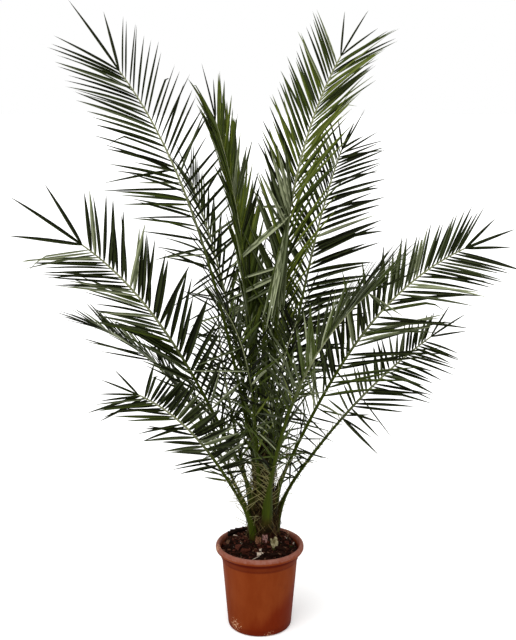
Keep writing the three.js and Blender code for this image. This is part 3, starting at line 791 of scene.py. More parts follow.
# The rib leaves the trunk at azimuth and foot, keeps upright over clasp, slopes by rise, flattens by droop
# and turns by swing; the blade rolls about it. right and left are the leaflets' angles to the rib at the
# petiole and at the tip, lift how far they stand off the blade. bare is the petiole, end the last leaflet and
# endWidth its width, tipShare the length of the leaflets before it. leaflet, pitch, widths and tints are of
# the right and the left row, pitch at the petiole and at the tip, starts where they begin. Up to the share
# wild of the blade, and ragged further in a row, thin leaflets of the tints inner stand every way. stout
# scales the rib and spiny the petiole's spines.
usualFrond = dict(clasp=120, lift=28, ragged=(0, 0), inner="basal", stout=1, spiny=1)
fronds = {
    "left_tall": dict(
        azimuth=132, foot=160, length=1310, rise=74, droop=27, swing=18, roll=-42, bare=80,
        leaflet=(235, 275), end=275, tipShare=0.85, right=(84, 30), left=(84, 36),
        pitch=((26, 20), (36, 14.5)), widths=(10, 14.5), wild=0.5, tints=("old", "old"), endWidth=10,
        ragged=(0, 0.24), inner="silver"),
    "right_tall": dict(
        azimuth=40, foot=220, length=1210, rise=88, droop=33, swing=-6, roll=40, bare=70,
        leaflet=(270, 245), end=165, tipShare=0.74, right=(22, 38), left=(18, 46),
        pitch=((24, 10), (18, 13)), widths=(10.5, 12), wild=0.36, tints=("young", "bright")),
    "centre_upright": dict(
        azimuth=160, foot=225, length=1000, rise=88, droop=16, swing=3, roll=-25, bare=70,
        leaflet=(215, 215), end=160, tipShare=0.8, right=(11, 20), left=(11, 20),
        pitch=((7, 7.5), (7, 7.5)), widths=(13, 13), wild=0.3, tints=("lit", "lit")),
    "back_right_tall": dict(
        azimuth=62, foot=160, length=1140, rise=66, droop=33, swing=8, roll=34, bare=80,
        leaflet=(240, 220), end=165, tipShare=0.78, right=(70, 42), left=(60, 36),
        pitch=((22, 16.5), (22, 16)), widths=(16.5, 14.5), wild=0.4, tints=("shaded", "shaded")),
    "right_wide": dict(
        azimuth=6, foot=115, length=940, rise=66, droop=40, swing=-11, roll=90, bare=120,
        leaflet=(285, 236), end=150, tipShare=0.64, right=(47, 42), left=(44, 40),
        pitch=((29, 12), (17, 12)), widths=(11.5, 13.5), wild=0.4, tints=("sheen", "sheen"),
        starts=(320, 120), endWidth=10),
    "left_wide": dict(
        azimuth=196, foot=115, length=960, rise=66, droop=30, swing=24, roll=-105, bare=120,
        leaflet=(222, 245), end=255, tipShare=0.87, right=(46, 42), left=(26, 38),
        pitch=((26, 16), (18, 11)), widths=(16, 9.5), wild=0.42, tints=("shaded", "sheen"), endWidth=11),
    "right_low": dict(
        azimuth=36, foot=20, clasp=202, length=762, rise=53, droop=13, swing=-70, roll=85, bare=385,
        leaflet=(178, 130), end=138, tipShare=0.74, right=(56, 44), left=(62, 30),
        pitch=((20, 12), (16, 12)), widths=(11, 10.5), wild=0.12, tints=("old", "old"), spiny=0.3),
    "left_low": dict(
        azimuth=224, foot=24, clasp=115, length=619, rise=61, droop=31, swing=-19, roll=-105, bare=215,
        leaflet=(128, 172), end=130, tipShare=0.92, right=(86, 72), left=(38, 28),
        pitch=((11, 10), (21, 12)), widths=(16, 11), wild=0.15, tints=("old", "grown")),
    "left_middle": dict(
        azimuth=189, foot=60, clasp=60, length=751, rise=67, droop=49, swing=-16, roll=0, bare=170,
        leaflet=(170, 195), end=130, tipShare=0.8, lift=26, right=(44, 24), left=(36, 15),
        pitch=((17, 11), (17, 10)), widths=(9, 10), wild=0.32, tints=("sheen", "sheen")),
    "front_right": dict(
        azimuth=285, foot=80, clasp=140, length=819, rise=71, droop=29, swing=60, roll=10, bare=140,
        leaflet=(235, 235), end=165, tipShare=0.9, lift=44, right=(40, 16), left=(40, 16),
        pitch=((8, 6), (8, 6)), widths=(7.5, 7.5), wild=0.62, tints=("fresh", "fresh"), stout=1.2, spiny=0.6),
    "front": dict(
        azimuth=305, foot=165, length=560, rise=84, droop=34, swing=-10, roll=0, bare=60,
        leaflet=(170, 170), end=122, tipShare=0.65, lift=36, right=(48, 28), left=(48, 28),
        pitch=((17, 14), (17, 14)), widths=(10, 10), wild=0.8, tints=("deep", "deep"), stout=0.6),
    "front_left": dict(
        azimuth=243, foot=155, length=620, rise=85, droop=38, swing=-14, roll=-20, bare=60,
        leaflet=(180, 180), end=129, tipShare=0.65, lift=36, right=(46, 28), left=(46, 28),
        pitch=((17, 14), (17, 14)), widths=(10, 10), wild=0.8, tints=("deep", "deep"), stout=0.6),
    "back_left_tall": dict(
        azimuth=108, foot=90, length=1020, rise=68, droop=10, swing=24, roll=-15, bare=130,
        leaflet=(190, 190), end=150, tipShare=0.8, lift=32, right=(28, 17), left=(28, 17),
        pitch=((26, 18), (26, 18)), widths=(9, 9), wild=0.45, tints=("deep", "old")),
    "back": dict(
        azimuth=92, foot=2, length=860, rise=66, droop=42, swing=-6, roll=0, bare=210,
        leaflet=(210, 210), end=173, tipShare=0.75, right=(62, 40), left=(62, 40),
        pitch=((19, 15), (19, 15)), widths=(11, 11), wild=0.5, tints=("old", "deep")),
    "back_right_low": dict(
        azimuth=67, foot=60, length=720, rise=69, droop=38, swing=4, roll=20, bare=160,
        leaflet=(175, 175), end=135, tipShare=0.7, lift=32, right=(58, 36), left=(58, 36),
        pitch=((24, 19), (24, 19)), widths=(9, 9), wild=0.5, tints=("old", "old")),
    "back_left_low": dict(
        azimuth=144, foot=55, length=600, rise=72, droop=34, swing=-50, roll=-20, bare=160,
        leaflet=(170, 170), end=131, tipShare=0.7, lift=32, right=(58, 36), left=(58, 36),
        pitch=((26, 20), (26, 20)), widths=(9, 9), wild=0.5, tints=("old", "old")),
}
fronds = {name: usualFrond | frond for name, frond in fronds.items()}


ribShape = {
    "seat": 6.36,  # off the trunk's surface
    "sample": 4,
    "droopCurve": 2.4,
    "upright": 88,
    "rollFade": (0.05, 0.45),
    "step": 10,
    "width": (28, 12, 4),  # clasping foot, neck and tip
    "thickness": (17, 9, 3),
    "footFade": (20, 130),  # where the foot narrows to the neck
    # the foot runs down into the trunk, past its own height by clear at most
    "sheath": {"length": 46, "clear": 8, "steps": 5, "sink": 9, "widening": 8, "thinning": 0.4,
               "share": 0.12},  # of the rib, for its colours
    # section across the rib: a shallow channel above, a rounded keel below
    "section": [(1, 0.3), (0.86, 0.8), (0.45, 0.72), (0, 0.5), (-0.45, 0.72), (-0.86, 0.8), (-1, 0.3),
                (-0.82, -0.45), (-0.4, -0.9), (0, -1), (0.4, -0.9), (0.82, -0.45)],
    "fibrous": paint(30, 17, 8),  # below the foot
    # base, petiole and blade, and the shares of the rib between which each sets in
    "tones": [(paint(50, 44, 5), -0.09, -0.02), (paint(51, 62, 2), -0.02, 0.03),
              (paint(140, 144, 108), 0.45, 0.8)],
    "deep": paint(20, 24, 4),
    "surface": (0.55, 0.06),
    "streaks": {"Across": 14.0, "Along": 9.0},
    "streakStrength": 0.55,
    "bump": (0.25, 0.001),
    "smoothAngle": 50,
}


def ribDirections(frond, distance):
    share = distance / frond["length"]
    opened = frond["rise"] - frond["droop"] * share ** ribShape["droopCurve"]
    slope = np.radians(lerp(opened, ribShape["upright"], np.maximum(0, 1 - distance / frond["clasp"]) ** 2))
    heading = np.radians(frond["azimuth"] + frond["swing"] * share)
    roll = (np.radians(frond["roll"]) * easing(share, *ribShape["rollFade"]))[:, None]
    along = np.stack([np.cos(heading) * np.cos(slope), np.sin(heading) * np.cos(slope), np.sin(slope)], -1)
    face = np.stack([-np.cos(heading) * np.sin(slope), -np.sin(heading) * np.sin(slope), np.cos(slope)], -1)
    face = face * np.cos(roll) + np.cross(along, face) * np.sin(roll)
    return along, face, np.cross(along, face)


def ribLine(frond):  # points every few mm with the directions there
    distance = np.linspace(0, frond["length"], round(frond["length"] / ribShape["sample"]) + 1)
    middle = (distance[1:] + distance[:-1]) / 2
    step = distance[1] - distance[0]
    heading = math.radians(frond["azimuth"])
    radius = float(trunkRadius(frond["foot"])) + ribShape["seat"]
    foot = plantFoot + (radius * math.cos(heading), radius * math.sin(heading), frond["foot"])
    moves = np.cumsum(ribDirections(frond, middle)[0] * step, axis=0)
    places = foot + np.vstack([np.zeros(3), moves])
    return (distance, places) + ribDirections(frond, distance)


def onRib(line, distance):  # place, along, face and side at one distance
    index = min(int(round(distance / (line[0][1] - line[0][0]))), len(line[0]) - 1)
    return tuple(part[index] for part in line[1:])


def offRib(along, face, side, angle, lift):  # turned from the rib to a side and lifted off the blade
    return (along * np.cos(angle) + side * np.cos(lift) * np.sin(angle)
            + face * np.sin(lift) * np.sin(angle))


def ribSize(sizes, distance, length):
    foot, neck, tip = sizes
    return lerp(neck, tip, distance / length) + (foot - neck) * (1 - easing(distance, *ribShape["footFade"]))


def makeRibMaterial():
    material, tree, surface, spread = newMaterial("leafRib", *ribShape["surface"], "UV")
    ways = addNode(tree, "ShaderNodeSeparateXYZ", None, {0: spread}).outputs
    turned = addNode(tree, "ShaderNodeCombineXYZ", None, {"X": ways["X"], "Z": ways["Y"]})
    streak = placeGroup(tree, longFibres, {"Vector": turned.outputs[0], **ribShape["streaks"]})
    colour = ribShape["fibrous"]
    for tone, low, high in ribShape["tones"]:
        colour = mixColour(tree, remap(tree, ways["Y"], low, high), colour, tone)
    shade = multiply(tree, streak, ribShape["streakStrength"])
    tree.links.new(mixColour(tree, shade, colour, ribShape["deep"]), surface["Base Color"])
    setBump(tree, surface, streak, *ribShape["bump"])
    return material


def makeRib(name, frond, line, material):
    section = np.array(ribShape["section"]) * frond["stout"]
    sides = len(section)
    points, shares = [], []

    def addSection(place, directions, width, thick, share):
        _, face, side = directions
        wide, high = section[:, 0] * width / 2, section[:, 1] * thick / 2
        points.append(place - np.outer(wide, side) + np.outer(high, face))
        shares.append(share)

    sheath = ribShape["sheath"]
    foot, *directions = onRib(line, 0)
    for step in range(sheath["steps"], 0, -1):
        down = step / sheath["steps"]
        drop = min(sheath["length"], frond["foot"] + sheath["clear"]) * down
        addSection(foot - (0, 0, drop) + directions[1] * sheath["sink"] * down ** 2, directions,
                   ribShape["width"][0] + sheath["widening"] * down,
                   ribShape["thickness"][0] * (1 - sheath["thinning"] * down), -sheath["share"] * down)
    length = frond["length"]
    for distance in np.linspace(0, length, round(length / ribShape["step"]) + 1):
        place, *directions = onRib(line, distance)
        addSection(place, directions, ribSize(ribShape["width"], distance, length),
                   ribSize(ribShape["thickness"], distance, length), distance / length)
    faces, spread = [], []
    for i in range(len(points) - 1):
        low, high = shares[i:i + 2]
        for k in range(sides):
            a, b = i * sides + k, i * sides + (k + 1) % sides
            faces.append((a, b, b + sides, a + sides))
            spread += [(k / sides, low), ((k + 1) / sides, low), ((k + 1) / sides, high), (k / sides, high)]
    faces.append(tuple(reversed(range(sides))))
    faces.append(tuple((len(points) - 1) * sides + k for k in range(sides)))
    spread += [(0.5, shares[0])] * sides + [(0.5, 1.0)] * sides
    rib = meshPiece(points, faces, [material])
    layer = rib.data.uv_layers.new(name="alongRib")
    layer.data.foreach_set("uv", np.array(spread, dtype=np.float32).ravel())
    finishPiece(rib, "rib_" + name, ["frond_" + name], ribShape["smoothAngle"])


leafletShape = {
    "thickness": 0.9,
    "keelFade": 0.7,
    "fold": 34,  # how far the halves stand up from the midrib, degrees
    "foldSpread": (0.75, 1.25),
    "foldFade": 0.6,
    # width along a leaflet
    "stations": [0, 0.06, 0.16, 0.3, 0.46, 0.62, 0.78, 0.9],
    "widths": [0.4, 0.7, 0.93, 1, 0.94, 0.78, 0.52, 0.27],
    "sides": 4,
    "gaps": (12, 14),  # to the first leaflet at most, from the last to the rib's end
    "bunch": (1, 5),  # fewest leaflets that stand together, and one past the most
    "retint": 0.35,  # chance of another tint within a bunch
    "orderly": (0.58, 0.9),  # from where to where on the blade the rows grow regular
    # each pair: near the petiole and where the rows are regular
    "bunchTurn": (6, 3),
    "turnSpread": (8, 3),
    "shortest": (0.78, 0.9),
    "wildFrom": 0.3,  # share of wild from where the thin leaflets grow fewer
    "thinTurn": (-25, 45),  # degrees
    "thinLift": (-70, 60),
    "calmer": 0.5,  # share of these turns in a row that lies close to the rib
    "calmAngles": (20, 45),
    "angleCurve": 1.6,
    "tipLift": 0.45,
    "liftSpread": (9, 10),  # of one leaflet and of its bunch
    "basalPitch": 14.5,
    "basalWidth": 6.8,
    "basalLength": 0.5,
    "grownPast": 0.1,  # on the blade, past wild
    "tipFade": (0.4, 1),  # where leaflets shorten to tipShare
    "longest": 1.06,
    "thinLengths": (0.12, 0.2),  # how much shorter and longer the thin leaflets come
    "petioleWidth": (0.85, 0.5),  # share of the width, and where on the blade it is full
    "tipNarrowing": (0.3, 2.5),  # share and curve
    "root": 0.75,  # of the rib's half width
    "widthSpread": (0.85, 1.15),
    "kinked": 0.05,  # share of leaflets with a kink
    "kink": (0.55, 0.8),
    "kinkFall": (0.55, 0.3),  # down and back
    "twist": (18, 30),  # at the root and along the leaflet
    "sag": (0.01, 0.08),
    "arch": (-0.02, 0.08),
    "inBunch": (0.8, 1.35),  # spacing within a bunch and to the next
    "spacing": (0.88, 1.12),
    # the last three leaflets: turns from the rib, and how much those shorten that turn
    "ends": {"turns": (-0.42, 0.02, 0.4), "lift": (-0.05, 0.1), "shortening": 0.4,
             "lengthSpread": (0.95, 1.05), "widthShare": 0.65, "sag": 0.04, "twist": (0, 0.1), "tint": 1},
    "stray": {"sag": 0.03, "arch": 0.1, "twist": (0.2, 0.4)},
    "patches": (0.8, 30.0),  # depth and scale of the deeper tone
    "smoothAngle": 35,
    "seed": 71,
    "tints": {  # screen colour, roughness and gloss
        "leafDeep": (paint(10, 13, 2), 0.55, 0.08),
        "leafMiddle": (paint(31, 39, 6), 0.5, 0.16),
        "leafGrey": (paint(74, 81, 54), 0.45, 0.3),
        "leafFresh": (paint(56, 68, 15), 0.48, 0.2),
        "leafYoung": (paint(88, 98, 28), 0.46, 0.24),
        "leafPale": (paint(138, 144, 112), 0.45, 0.3),
    },
}
foldHalfLightShade = [1, 0, 1, 1, 3, 2]  # the tint of a leaflet's second half: painted light and shade across the fold
# shares of the six tints in a row of leaflets
tintMixes = {
    "basal": (0.25, 0.27, 0.14, 0.23, 0.05, 0.06),
    "silver": (0.22, 0.12, 0.38, 0.08, 0, 0.2),
    "deep": (0.5, 0.36, 0.02, 0.12, 0, 0),
    "shaded": (0.74, 0.16, 0.06, 0, 0, 0.04),
    "old": (0.54, 0.2, 0.17, 0.04, 0, 0.05),
    "sheen": (0.44, 0.12, 0.25, 0.03, 0, 0.16),
    "grown": (0.32, 0.3, 0.2, 0.11, 0, 0.07),
    "bright": (0.03, 0.15, 0.34, 0.26, 0.16, 0.06),
    "fresh": (0.13, 0.26, 0.2, 0.36, 0.02, 0.03),
    "lit": (0, 0.02, 0.16, 0.18, 0.5, 0.14),
    "young": (0.02, 0.14, 0.08, 0.4, 0.36, 0),
}
# leaflets that hang or stick out by themselves: share of the rib, direction, length, width, tint, kink if any
strays = {
    "left_tall": [
        (0.685, (-0.99, -0.1, 0.02), 245, 9, 0), (0.735, (-0.98, -0.1, -0.15), 220, 9, 0),
        (0.62, (-0.99, -0.1, 0.03), 175, 7, 0), (0.53, (-0.99, -0.1, -0.03), 125, 6, 5),
        (0.73, (-0.96, -0.1, 0.26), 130, 9, 2), (0.66, (-0.98, -0.1, 0.12), 205, 9, 2),
        (0.7, (-0.99, -0.1, 0.04), 135, 8, 5)],
    "right_tall": [
        (0.58, (-0.42, -0.12, 0.9), 185, 14, 5), (0.6, (-0.34, -0.14, 0.92), 200, 14, 2),
        (0.61, (-0.26, -0.2, 0.94), 205, 15, 5), (0.625, (-0.2, -0.16, 0.95), 195, 14, 5),
        (0.64, (-0.12, -0.2, 0.97), 190, 13, 2), (0.57, (-0.5, -0.15, 0.85), 150, 10, 2),
        (0.63, (-1, -0.15, 0.02), 140, 9, 5), (0.62, (-0.85, -0.2, -0.45), 70, 10, 5),
        (0.61, (-0.76, -0.25, -0.62), 225, 18, 5), (0.6, (-0.82, -0.25, -0.55), 190, 14, 2),
        (0.56, (-0.09, -0.5, -0.86), 280, 15, 5), (0.57, (-0.15, -0.55, -0.84), 310, 17, 2),
        (0.585, (-0.2, -0.55, -0.83), 320, 17, 5), (0.6, (-0.24, -0.5, -0.84), 290, 15, 3),
        (0.59, (-0.1, -0.6, -0.82), 270, 13, 2), (0.55, (-0.28, -0.5, -0.82), 240, 12, 5),
        (0.575, (-0.05, -0.58, -0.84), 295, 16, 2), (0.59, (-0.17, -0.62, -0.8), 300, 16, 5),
        (0.605, (-0.13, -0.6, -0.82), 280, 15, 2), (0.565, (-0.2, -0.6, -0.8), 260, 14, 3),
        (0.47, (-0.9, -0.3, -0.36), 165, 15, 5), (0.45, (-0.88, -0.3, -0.42), 170, 14, 2),
        (0.49, (-0.93, -0.3, -0.22), 150, 10, 5),
        (0.5, (0.62, -0.2, 0.77), 155, 6, 5),
        (0.71, (0.95, -0.1, 0.15), 118, 9, 1, 0.55), (0.735, (0.95, 0, 0.2), 110, 9, 1, 0.6)],
    "back_right_tall": [
        (0.99, (0.47, 0, 0.88), 160, 7, 0), (0.975, (0.84, 0, 0.54), 150, 8, 0),
        (0.955, (0.92, 0, 0.4), 148, 8, 0)],
    "right_wide": [
        (0.64, (0.97, -0.2, 0.1), 205, 12, 2), (0.62, (0.97, -0.2, 0.02), 205, 12, 2),
        (0.6, (0.95, -0.2, 0.2), 190, 11, 3),
        (0.16, (0.97, -0.1, -0.2), 80, 6, 1), (0.19, (0.93, -0.1, -0.36), 90, 6, 0),
        (0.22, (0.98, -0.1, 0.05), 85, 6, 3), (0.24, (0.75, -0.2, -0.66), 70, 6, 1),
        (0.26, (0.9, -0.1, -0.43), 95, 7, 0), (0.29, (0.7, -0.1, -0.7), 80, 6, 0),
        (0.3, (0.97, -0.1, -0.2), 100, 7, 1), (0.33, (0.88, -0.1, -0.47), 95, 7, 0),
        (0.149, (-0.05, -0.15, -1), 82, 7, 0), (0.144, (0.56, -0.1, -0.82), 62, 7, 0),
        (0.122, (0.82, -0.1, 0.56), 66, 7, 0), (0.064, (0.8, -0.1, 0.6), 46, 7, 0),
        (0.085, (1, -0.1, 0.02), 46, 7, 0), (0.176, (0.87, -0.1, -0.48), 70, 8, 0),
        (0.181, (0.97, -0.1, -0.22), 105, 9, 0), (0.1, (0.75, -0.1, -0.3), 52, 7, 0)],
    "front_right": [
        (0.98, (0.7, -0.2, -0.65), 90, 8, 2), (0.98, (0.82, -0.2, -0.5), 110, 8, 5),
        (0.99, (0.87, -0.1, 0.45), 145, 9, 0), (0.93, (0.3, -0.3, -0.9), 60, 8, 1)],
    "front_left": [(0.62, (-1, -0.15, 0.08), 190, 6, 5), (0.75, (-0.9, -0.2, -0.3), 150, 7, 2)],
    "front": [(0.5, (0.94, -0.2, 0.28), 200, 6, 5), (0.66, (0.8, -0.3, -0.45), 130, 7, 2)],
    "left_low": [
        (0.99, (-0.97, -0.2, -0.04), 110, 8, 0), (0.99, (-0.95, -0.25, -0.22), 150, 9, 0),
        (0.97, (-0.9, -0.25, -0.4), 135, 9, 1), (0.95, (-0.93, -0.2, -0.3), 130, 8, 0),
        (0.323, (0.5, -0.1, 0.85), 52, 6, 0), (0.25, (0.75, -0.1, 0.6), 44, 6, 0),
        (0.29, (0.9, -0.1, 0.4), 48, 6, 0)],
    "right_low": [
        (0.515, (0.7, 0, -0.71), 160, 12, 0), (0.57, (0.69, 0, -0.72), 127, 9, 0),
        (0.625, (0.61, 0, -0.79), 165, 5, 0),
        (0.295, (-0.8, -0.1, -0.58), 58, 7, 0), (0.27, (-0.5, -0.1, 0.86), 58, 7, 0)],
    "left_middle": [
        (0.775, (-0.93, -0.15, 0.36), 200, 7, 1), (0.76, (-0.96, -0.15, 0.25), 150, 6, 1),
        (0.8, (-0.95, -0.2, 0.3), 170, 6, 2),
        (0.15, (-0.55, -0.2, 0.8), 50, 6, 0), (0.1, (0.7, -0.4, 0.6), 50, 6, 0)],
}


def leafletRings(root, direction, across, length, width, sag, arch, twist, kink, fold):
    shape = leafletShape
    up = np.cross(direction, across)
    stations = np.append(shape["stations"], 1.0)[:, None]
    widths = np.append(shape["widths"], 0.0)[:, None] * width / 2
    spine = root + direction * length * stations + up * length * arch * stations * (1 - stations)
    spine[:, 2:] -= length * sag * stations ** 2
    if kink > 0:
        down, back = shape["kinkFall"]
        spine[:, 2:] -= length * down * np.maximum(0, stations - kink)
        spine -= direction * length * back * np.maximum(0, stations - kink)
    turn = twist[0] + twist[1] * stations
    wide = across * np.cos(turn) + up * np.sin(turn)
    high = up * np.cos(turn) - across * np.sin(turn)
    opened = np.radians(fold * (1 - shape["foldFade"] * stations))
    half = wide * widths * np.cos(opened)
    lift = high * widths * np.sin(opened)
    keel = high * shape["thickness"] * (1 - shape["keelFade"] * stations)
    rings = np.stack([spine + half + lift, spine, spine - half + lift, spine - keel], 1)[:-1]
    return np.vstack([rings.reshape(-1, 3), spine[-1]])


def planLeaflets(name, frond, line, draw):
    shape = leafletShape
    blade = frond["length"] - frond["bare"]
    planned, tints = [], []

    def add(root, direction, across, length, width, sag, arch, twist, kink, tint):
        fold = shape["fold"] * draw.uniform(*shape["foldSpread"])
        planned.append(leafletRings(root, direction, across, length, width, sag, arch, twist, kink, fold))
        tints.append(tint)

    rows = zip((1, -1), (frond["right"], frond["left"]), frond.get("starts", (frond["bare"],) * 2),
               frond["leaflet"], frond["pitch"], frond["widths"], frond["tints"], frond["ragged"])
    for hand, angles, start, longest, pitch, wide, mix, ragged in rows:
        before, after = shape["gaps"]
        distance = start + draw.uniform(0, before)
        bunch, inBunch, tint = 0, 0, 0
        while distance < frond["length"] - after:
            u = (distance - frond["bare"]) / blade
            unruly = 1 - easing(u, frond["wild"] * shape["wildFrom"] + ragged, frond["wild"] + ragged)
            fresh = inBunch == 0  # leaflets stand in loose bunches that share a tint
            if fresh:
                inBunch = draw.integers(*shape["bunch"])
                bunch = draw.uniform(-1, 1)
            if fresh or draw.uniform() < shape["retint"]:
                shares = tintMixes[frond["inner"] if draw.uniform() < unruly else mix]
                tint = draw.choice(len(shares), p=shares)
            inBunch -= 1
            swerve = unruly * lerp(shape["calmer"], 1, easing(angles[0], *shape["calmAngles"]))
            regular = easing(u, *shape["orderly"])
            place, along, face, side = onRib(line, distance)
            angle = np.radians(lerp(*angles, u ** shape["angleCurve"])
                               + lerp(*shape["bunchTurn"], regular) * bunch
                               + lerp(*shape["turnSpread"], regular) * draw.uniform(-1, 1)
                               + swerve * draw.uniform(*shape["thinTurn"]))
            alone, together = shape["liftSpread"]
            lift = np.radians(frond["lift"] * lerp(1, shape["tipLift"], u) + alone * draw.uniform(-1, 1)
                              + together * bunch + swerve * draw.uniform(*shape["thinLift"]))
            direction = offRib(along, face, side * hand, angle, lift)
            across = along - direction * np.dot(along, direction)
            across *= hand / np.linalg.norm(across)
            full = frond["wild"] + shape["grownPast"] + ragged
            grown = lerp(shape["basalLength"], 1, easing(u, ragged, full))
            shorter, longer = shape["thinLengths"]
            length = (longest * grown * lerp(1, frond["tipShare"], easing(u, *shape["tipFade"]))
                      * draw.uniform(lerp(*shape["shortest"], regular) - shorter * unruly,
                                     shape["longest"] + longer * unruly))
            least, full = shape["petioleWidth"]
            narrowing, curve = shape["tipNarrowing"]
            width = wide * lerp(least, 1, easing(u, 0, full)) * (1 - narrowing * u ** curve)
            width = lerp(width, shape["basalWidth"], unruly) * draw.uniform(*shape["widthSpread"])
            half = ribSize(ribShape["width"], distance, frond["length"]) / 2
            kink = draw.uniform(*shape["kink"]) if draw.uniform() < shape["kinked"] else 0
            twist = [np.radians(draw.uniform(-most, most)) for most in shape["twist"]]
            add(place + side * hand * half * shape["root"], direction, across, length, width,
                draw.uniform(*shape["sag"]), draw.uniform(*shape["arch"]), twist, kink, tint)
            spacing = lerp(lerp(*pitch, u), shape["basalPitch"], unruly)
            close, apart = shape["inBunch"]
            spacing *= lerp(close if inBunch else apart, 1, regular)
            distance += spacing * draw.uniform(*shape["spacing"])
    place, along, face, side = onRib(line, frond["length"])
    ends, stray = shape["ends"], shape["stray"]
    for bend in ends["turns"]:  # the last leaflets carry the rib on
        direction = along + side * bend + face * draw.uniform(*ends["lift"])
        direction /= np.linalg.norm(direction)
        across = -side + direction * np.dot(side, direction)
        across /= np.linalg.norm(across)
        length = frond["end"] * (1 - ends["shortening"] * abs(bend)) * draw.uniform(*ends["lengthSpread"])
        width = frond.get("endWidth", min(frond["widths"]) * ends["widthShare"])
        add(place, direction, across, length, width, ends["sag"], 0, ends["twist"], 0, ends["tint"])
    for share, toward, length, width, tint, *kink in strays.get(name, []):
        place = onRib(line, share * frond["length"])[0]
        direction = np.array(toward) / np.linalg.norm(toward)
        across = np.cross((0, -1, 0), direction)
        across /= np.linalg.norm(across)
        add(place, direction, across, length, width, stray["sag"], stray["arch"], stray["twist"],
            kink[0] if kink else 0, tint)
    return planned, tints


leafletRingCount, leafletSides = len(leafletShape["stations"]), leafletShape["sides"]
leafletFaceCount = leafletRingCount * leafletSides + 1


def makeLeaflets(name, frond, line, materials, number):
    draw = np.random.default_rng(leafletShape["seed"] + number)
    planned, tints = planLeaflets(name, frond, line, draw)
    faces = tubeFaces(len(planned), leafletRingCount, leafletSides)
    tints = np.repeat(np.array(tints)[:, None], leafletFaceCount, axis=1)
    # one half of each folded leaflet in a second tint: painted light and shade across the fold
    tints[:, 1:-1:leafletSides] = np.array(foldHalfLightShade)[tints[:, :1]]
    leaflets = meshPiece(planned, faces, materials, tints.ravel())
    finishPiece(leaflets, "leaflets_" + name, ["frond_" + name], leafletShape["smoothAngle"])
    return len(planned)


spineShape = {
    "shares": (0, 0.35, 0.7, 1),  # points along a spine
    "sides": 4,
    "pitch": 13,
    "spacing": (0.4, 2),
    "from": 0.1,
    "firstGap": 20,
    "past": 20,  # how far past the petiole they go on
    "angle": (26, 72),
    "lift": (-40, 50),
    "length": (60, 84),
    "lengthSpread": (0.75, 1.15),
    "under": 0.2,  # share of the length on the side that looks down
    "underFade": (-0.8, -0.1),
    "width": 2.1,
    "widthSpread": (0.75, 1.1),
    "narrowing": 0.55,
    "root": 0.8,  # of the rib's half width
    "surface": (0.5, 0.4, 0.7, 60.0),
    "tone": paint(114, 109, 66),
    "seed": 91,
    "crossingWidth": 2.8,
    # long spines that cross in front of the trunk: distance along the rib, direction, length
    "crossing": {
        "left_low": [
            (88, (0.68, -0.12, 0.72), 52), (98, (0.8, -0.12, 0.58), 80), (118, (0.84, -0.1, 0.52), 84),
            (140, (0.82, -0.1, 0.56), 80), (160, (0.86, -0.1, 0.48), 62), (196, (0.85, -0.1, 0.5), 46),
            (130, (0.6, -0.1, 0.8), 50), (176, (0.35, -0.1, 0.93), 44)],
        "front_right": [
            (50, (-0.77, -0.12, 0.62), 90), (64, (-0.72, -0.12, 0.68), 84), (80, (-0.6, -0.12, 0.79), 72),
            (100, (-0.84, -0.12, 0.52), 80), (130, (-0.85, -0.1, 0.51), 78), (150, (-0.7, -0.1, 0.7), 60),
            (112, (-0.5, -0.1, 0.86), 60)],
    },
}


def planSpines(name, frond, line, draw):
    shape = spineShape
    petiole = frond["bare"]
    shares = np.array(shape["shares"])
    narrowing = 1 - shape["narrowing"] * shares
    strands = []
    for hand in (1, -1):
        distance = petiole * shape["from"] + draw.uniform(0, shape["firstGap"])
        while distance < petiole + shape["past"]:
            u = (distance / petiole - shape["from"]) / (1 - shape["from"])
            place, along, face, side = onRib(line, distance)
            angle = np.radians(draw.uniform(*shape["angle"]))
            lift = np.radians(draw.uniform(*shape["lift"]))
            direction = offRib(along, face, side * hand, angle, lift)
            upper = lerp(shape["under"], 1, easing(side[2] * hand, *shape["underFade"]))
            length = lerp(*shape["length"], u) * upper * frond["spiny"] * draw.uniform(*shape["lengthSpread"])
            half = ribSize(ribShape["width"], distance, frond["length"]) / 2
            path = place + side * hand * half * shape["root"] + np.outer(shares * length, direction)
            halfWidths = shape["width"] / 2 * narrowing * lerp(*shape["widthSpread"], u)
            strands.append(thread(path, halfWidths, shape["sides"]))
            distance += shape["pitch"] * draw.uniform(*shape["spacing"])
    for distance, toward, length in shape["crossing"].get(name, []):
        path = onRib(line, distance)[0] + np.outer(shares * length, toward)
        strands.append(thread(path, shape["crossingWidth"] / 2 * narrowing, shape["sides"]))
    return strands


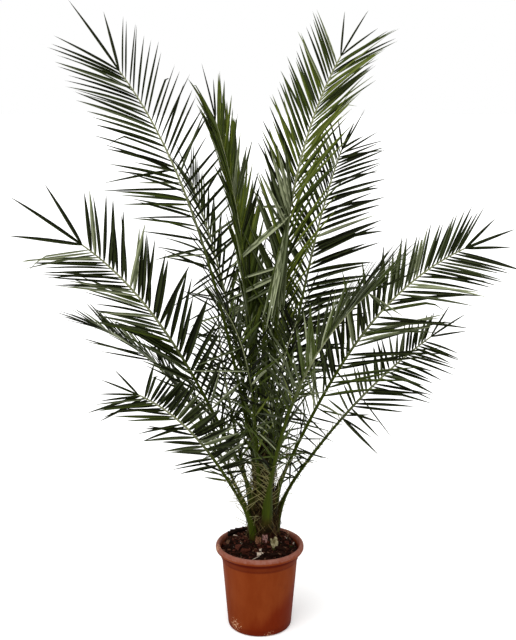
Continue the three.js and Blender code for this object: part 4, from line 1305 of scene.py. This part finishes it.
def makeFronds():
    ribMaterial = makeRibMaterial()
    tints = [plainTint(name, colour, rough, gloss, *leafletShape["patches"])
             for name, (colour, rough, gloss) in leafletShape["tints"].items()]
    draw = np.random.default_rng(spineShape["seed"])
    spines, total = [], 0
    for number, (name, frond) in enumerate(fronds.items()):
        line = ribLine(frond)
        makeRib(name, frond, line, ribMaterial)
        total += makeLeaflets(name, frond, line, tints, number)
        spines += planSpines(name, frond, line, draw)
    faces = tubeFaces(len(spines), len(spineShape["shares"]) - 1, spineShape["sides"])
    material = plainTint("leafSpine", spineShape["tone"], *spineShape["surface"])
    piece = meshPiece(spines, faces, [material])
    finishPiece(piece, "petiole_spines", ["frond_" + name for name in fronds])
    print("fronds made,", total, "leaflets and", len(spines), "spines")
    return tints


leafTints = makeFronds()


spearShape = {
    "length": 430,
    "strips": 16,
    "turn": 2.4,  # from one strip to the next, radians
    "spread": 5,
    "shortest": 0.6,
    "lengthSpread": (0.94, 1),
    "width": 13,
    "sunk": 6,  # below the trunk's tip
    "rings": (1, 0.35),  # radius of the first strip and the step to the next
    "arch": 0.02,
    "twist": 0.3,
    "fold": 48,
    "mix": (0, 0.1, 0.1, 0.4, 0.4, 0),
    "seed": 51,
}


def makeSpear():
    shape = spearShape
    draw = np.random.default_rng(shape["seed"])
    tip = plantFoot + (0, 0, trunkShape["height"] - shape["sunk"])
    first, step = shape["rings"]
    planned, tints = [], []
    for i in range(shape["strips"]):
        azimuth = shape["turn"] * i
        share = i / shape["strips"]
        lean = math.radians(shape["spread"]) * share
        outward = np.array([math.cos(azimuth), math.sin(azimuth), 0])
        direction = outward * math.sin(lean) + np.array([0, 0, math.cos(lean)])
        across = np.array([-math.sin(azimuth), math.cos(azimuth), 0])
        length = shape["length"] * lerp(1, shape["shortest"], share) * draw.uniform(*shape["lengthSpread"])
        twist = (0, draw.uniform(-shape["twist"], shape["twist"]))
        root = tip + outward * (first + step * i)
        planned.append(leafletRings(root, direction, across, length, shape["width"],
                                    0, shape["arch"], twist, 0, shape["fold"]))
        tints.append(draw.choice(len(shape["mix"]), p=shape["mix"]))
    faces = tubeFaces(len(planned), leafletRingCount, leafletSides)
    spear = meshPiece(planned, faces, leafTints, np.repeat(tints, leafletFaceCount))
    finishPiece(spear, "young_spear", ["spear_leaf"], leafletShape["smoothAngle"])


makeSpear()
print("spear made")
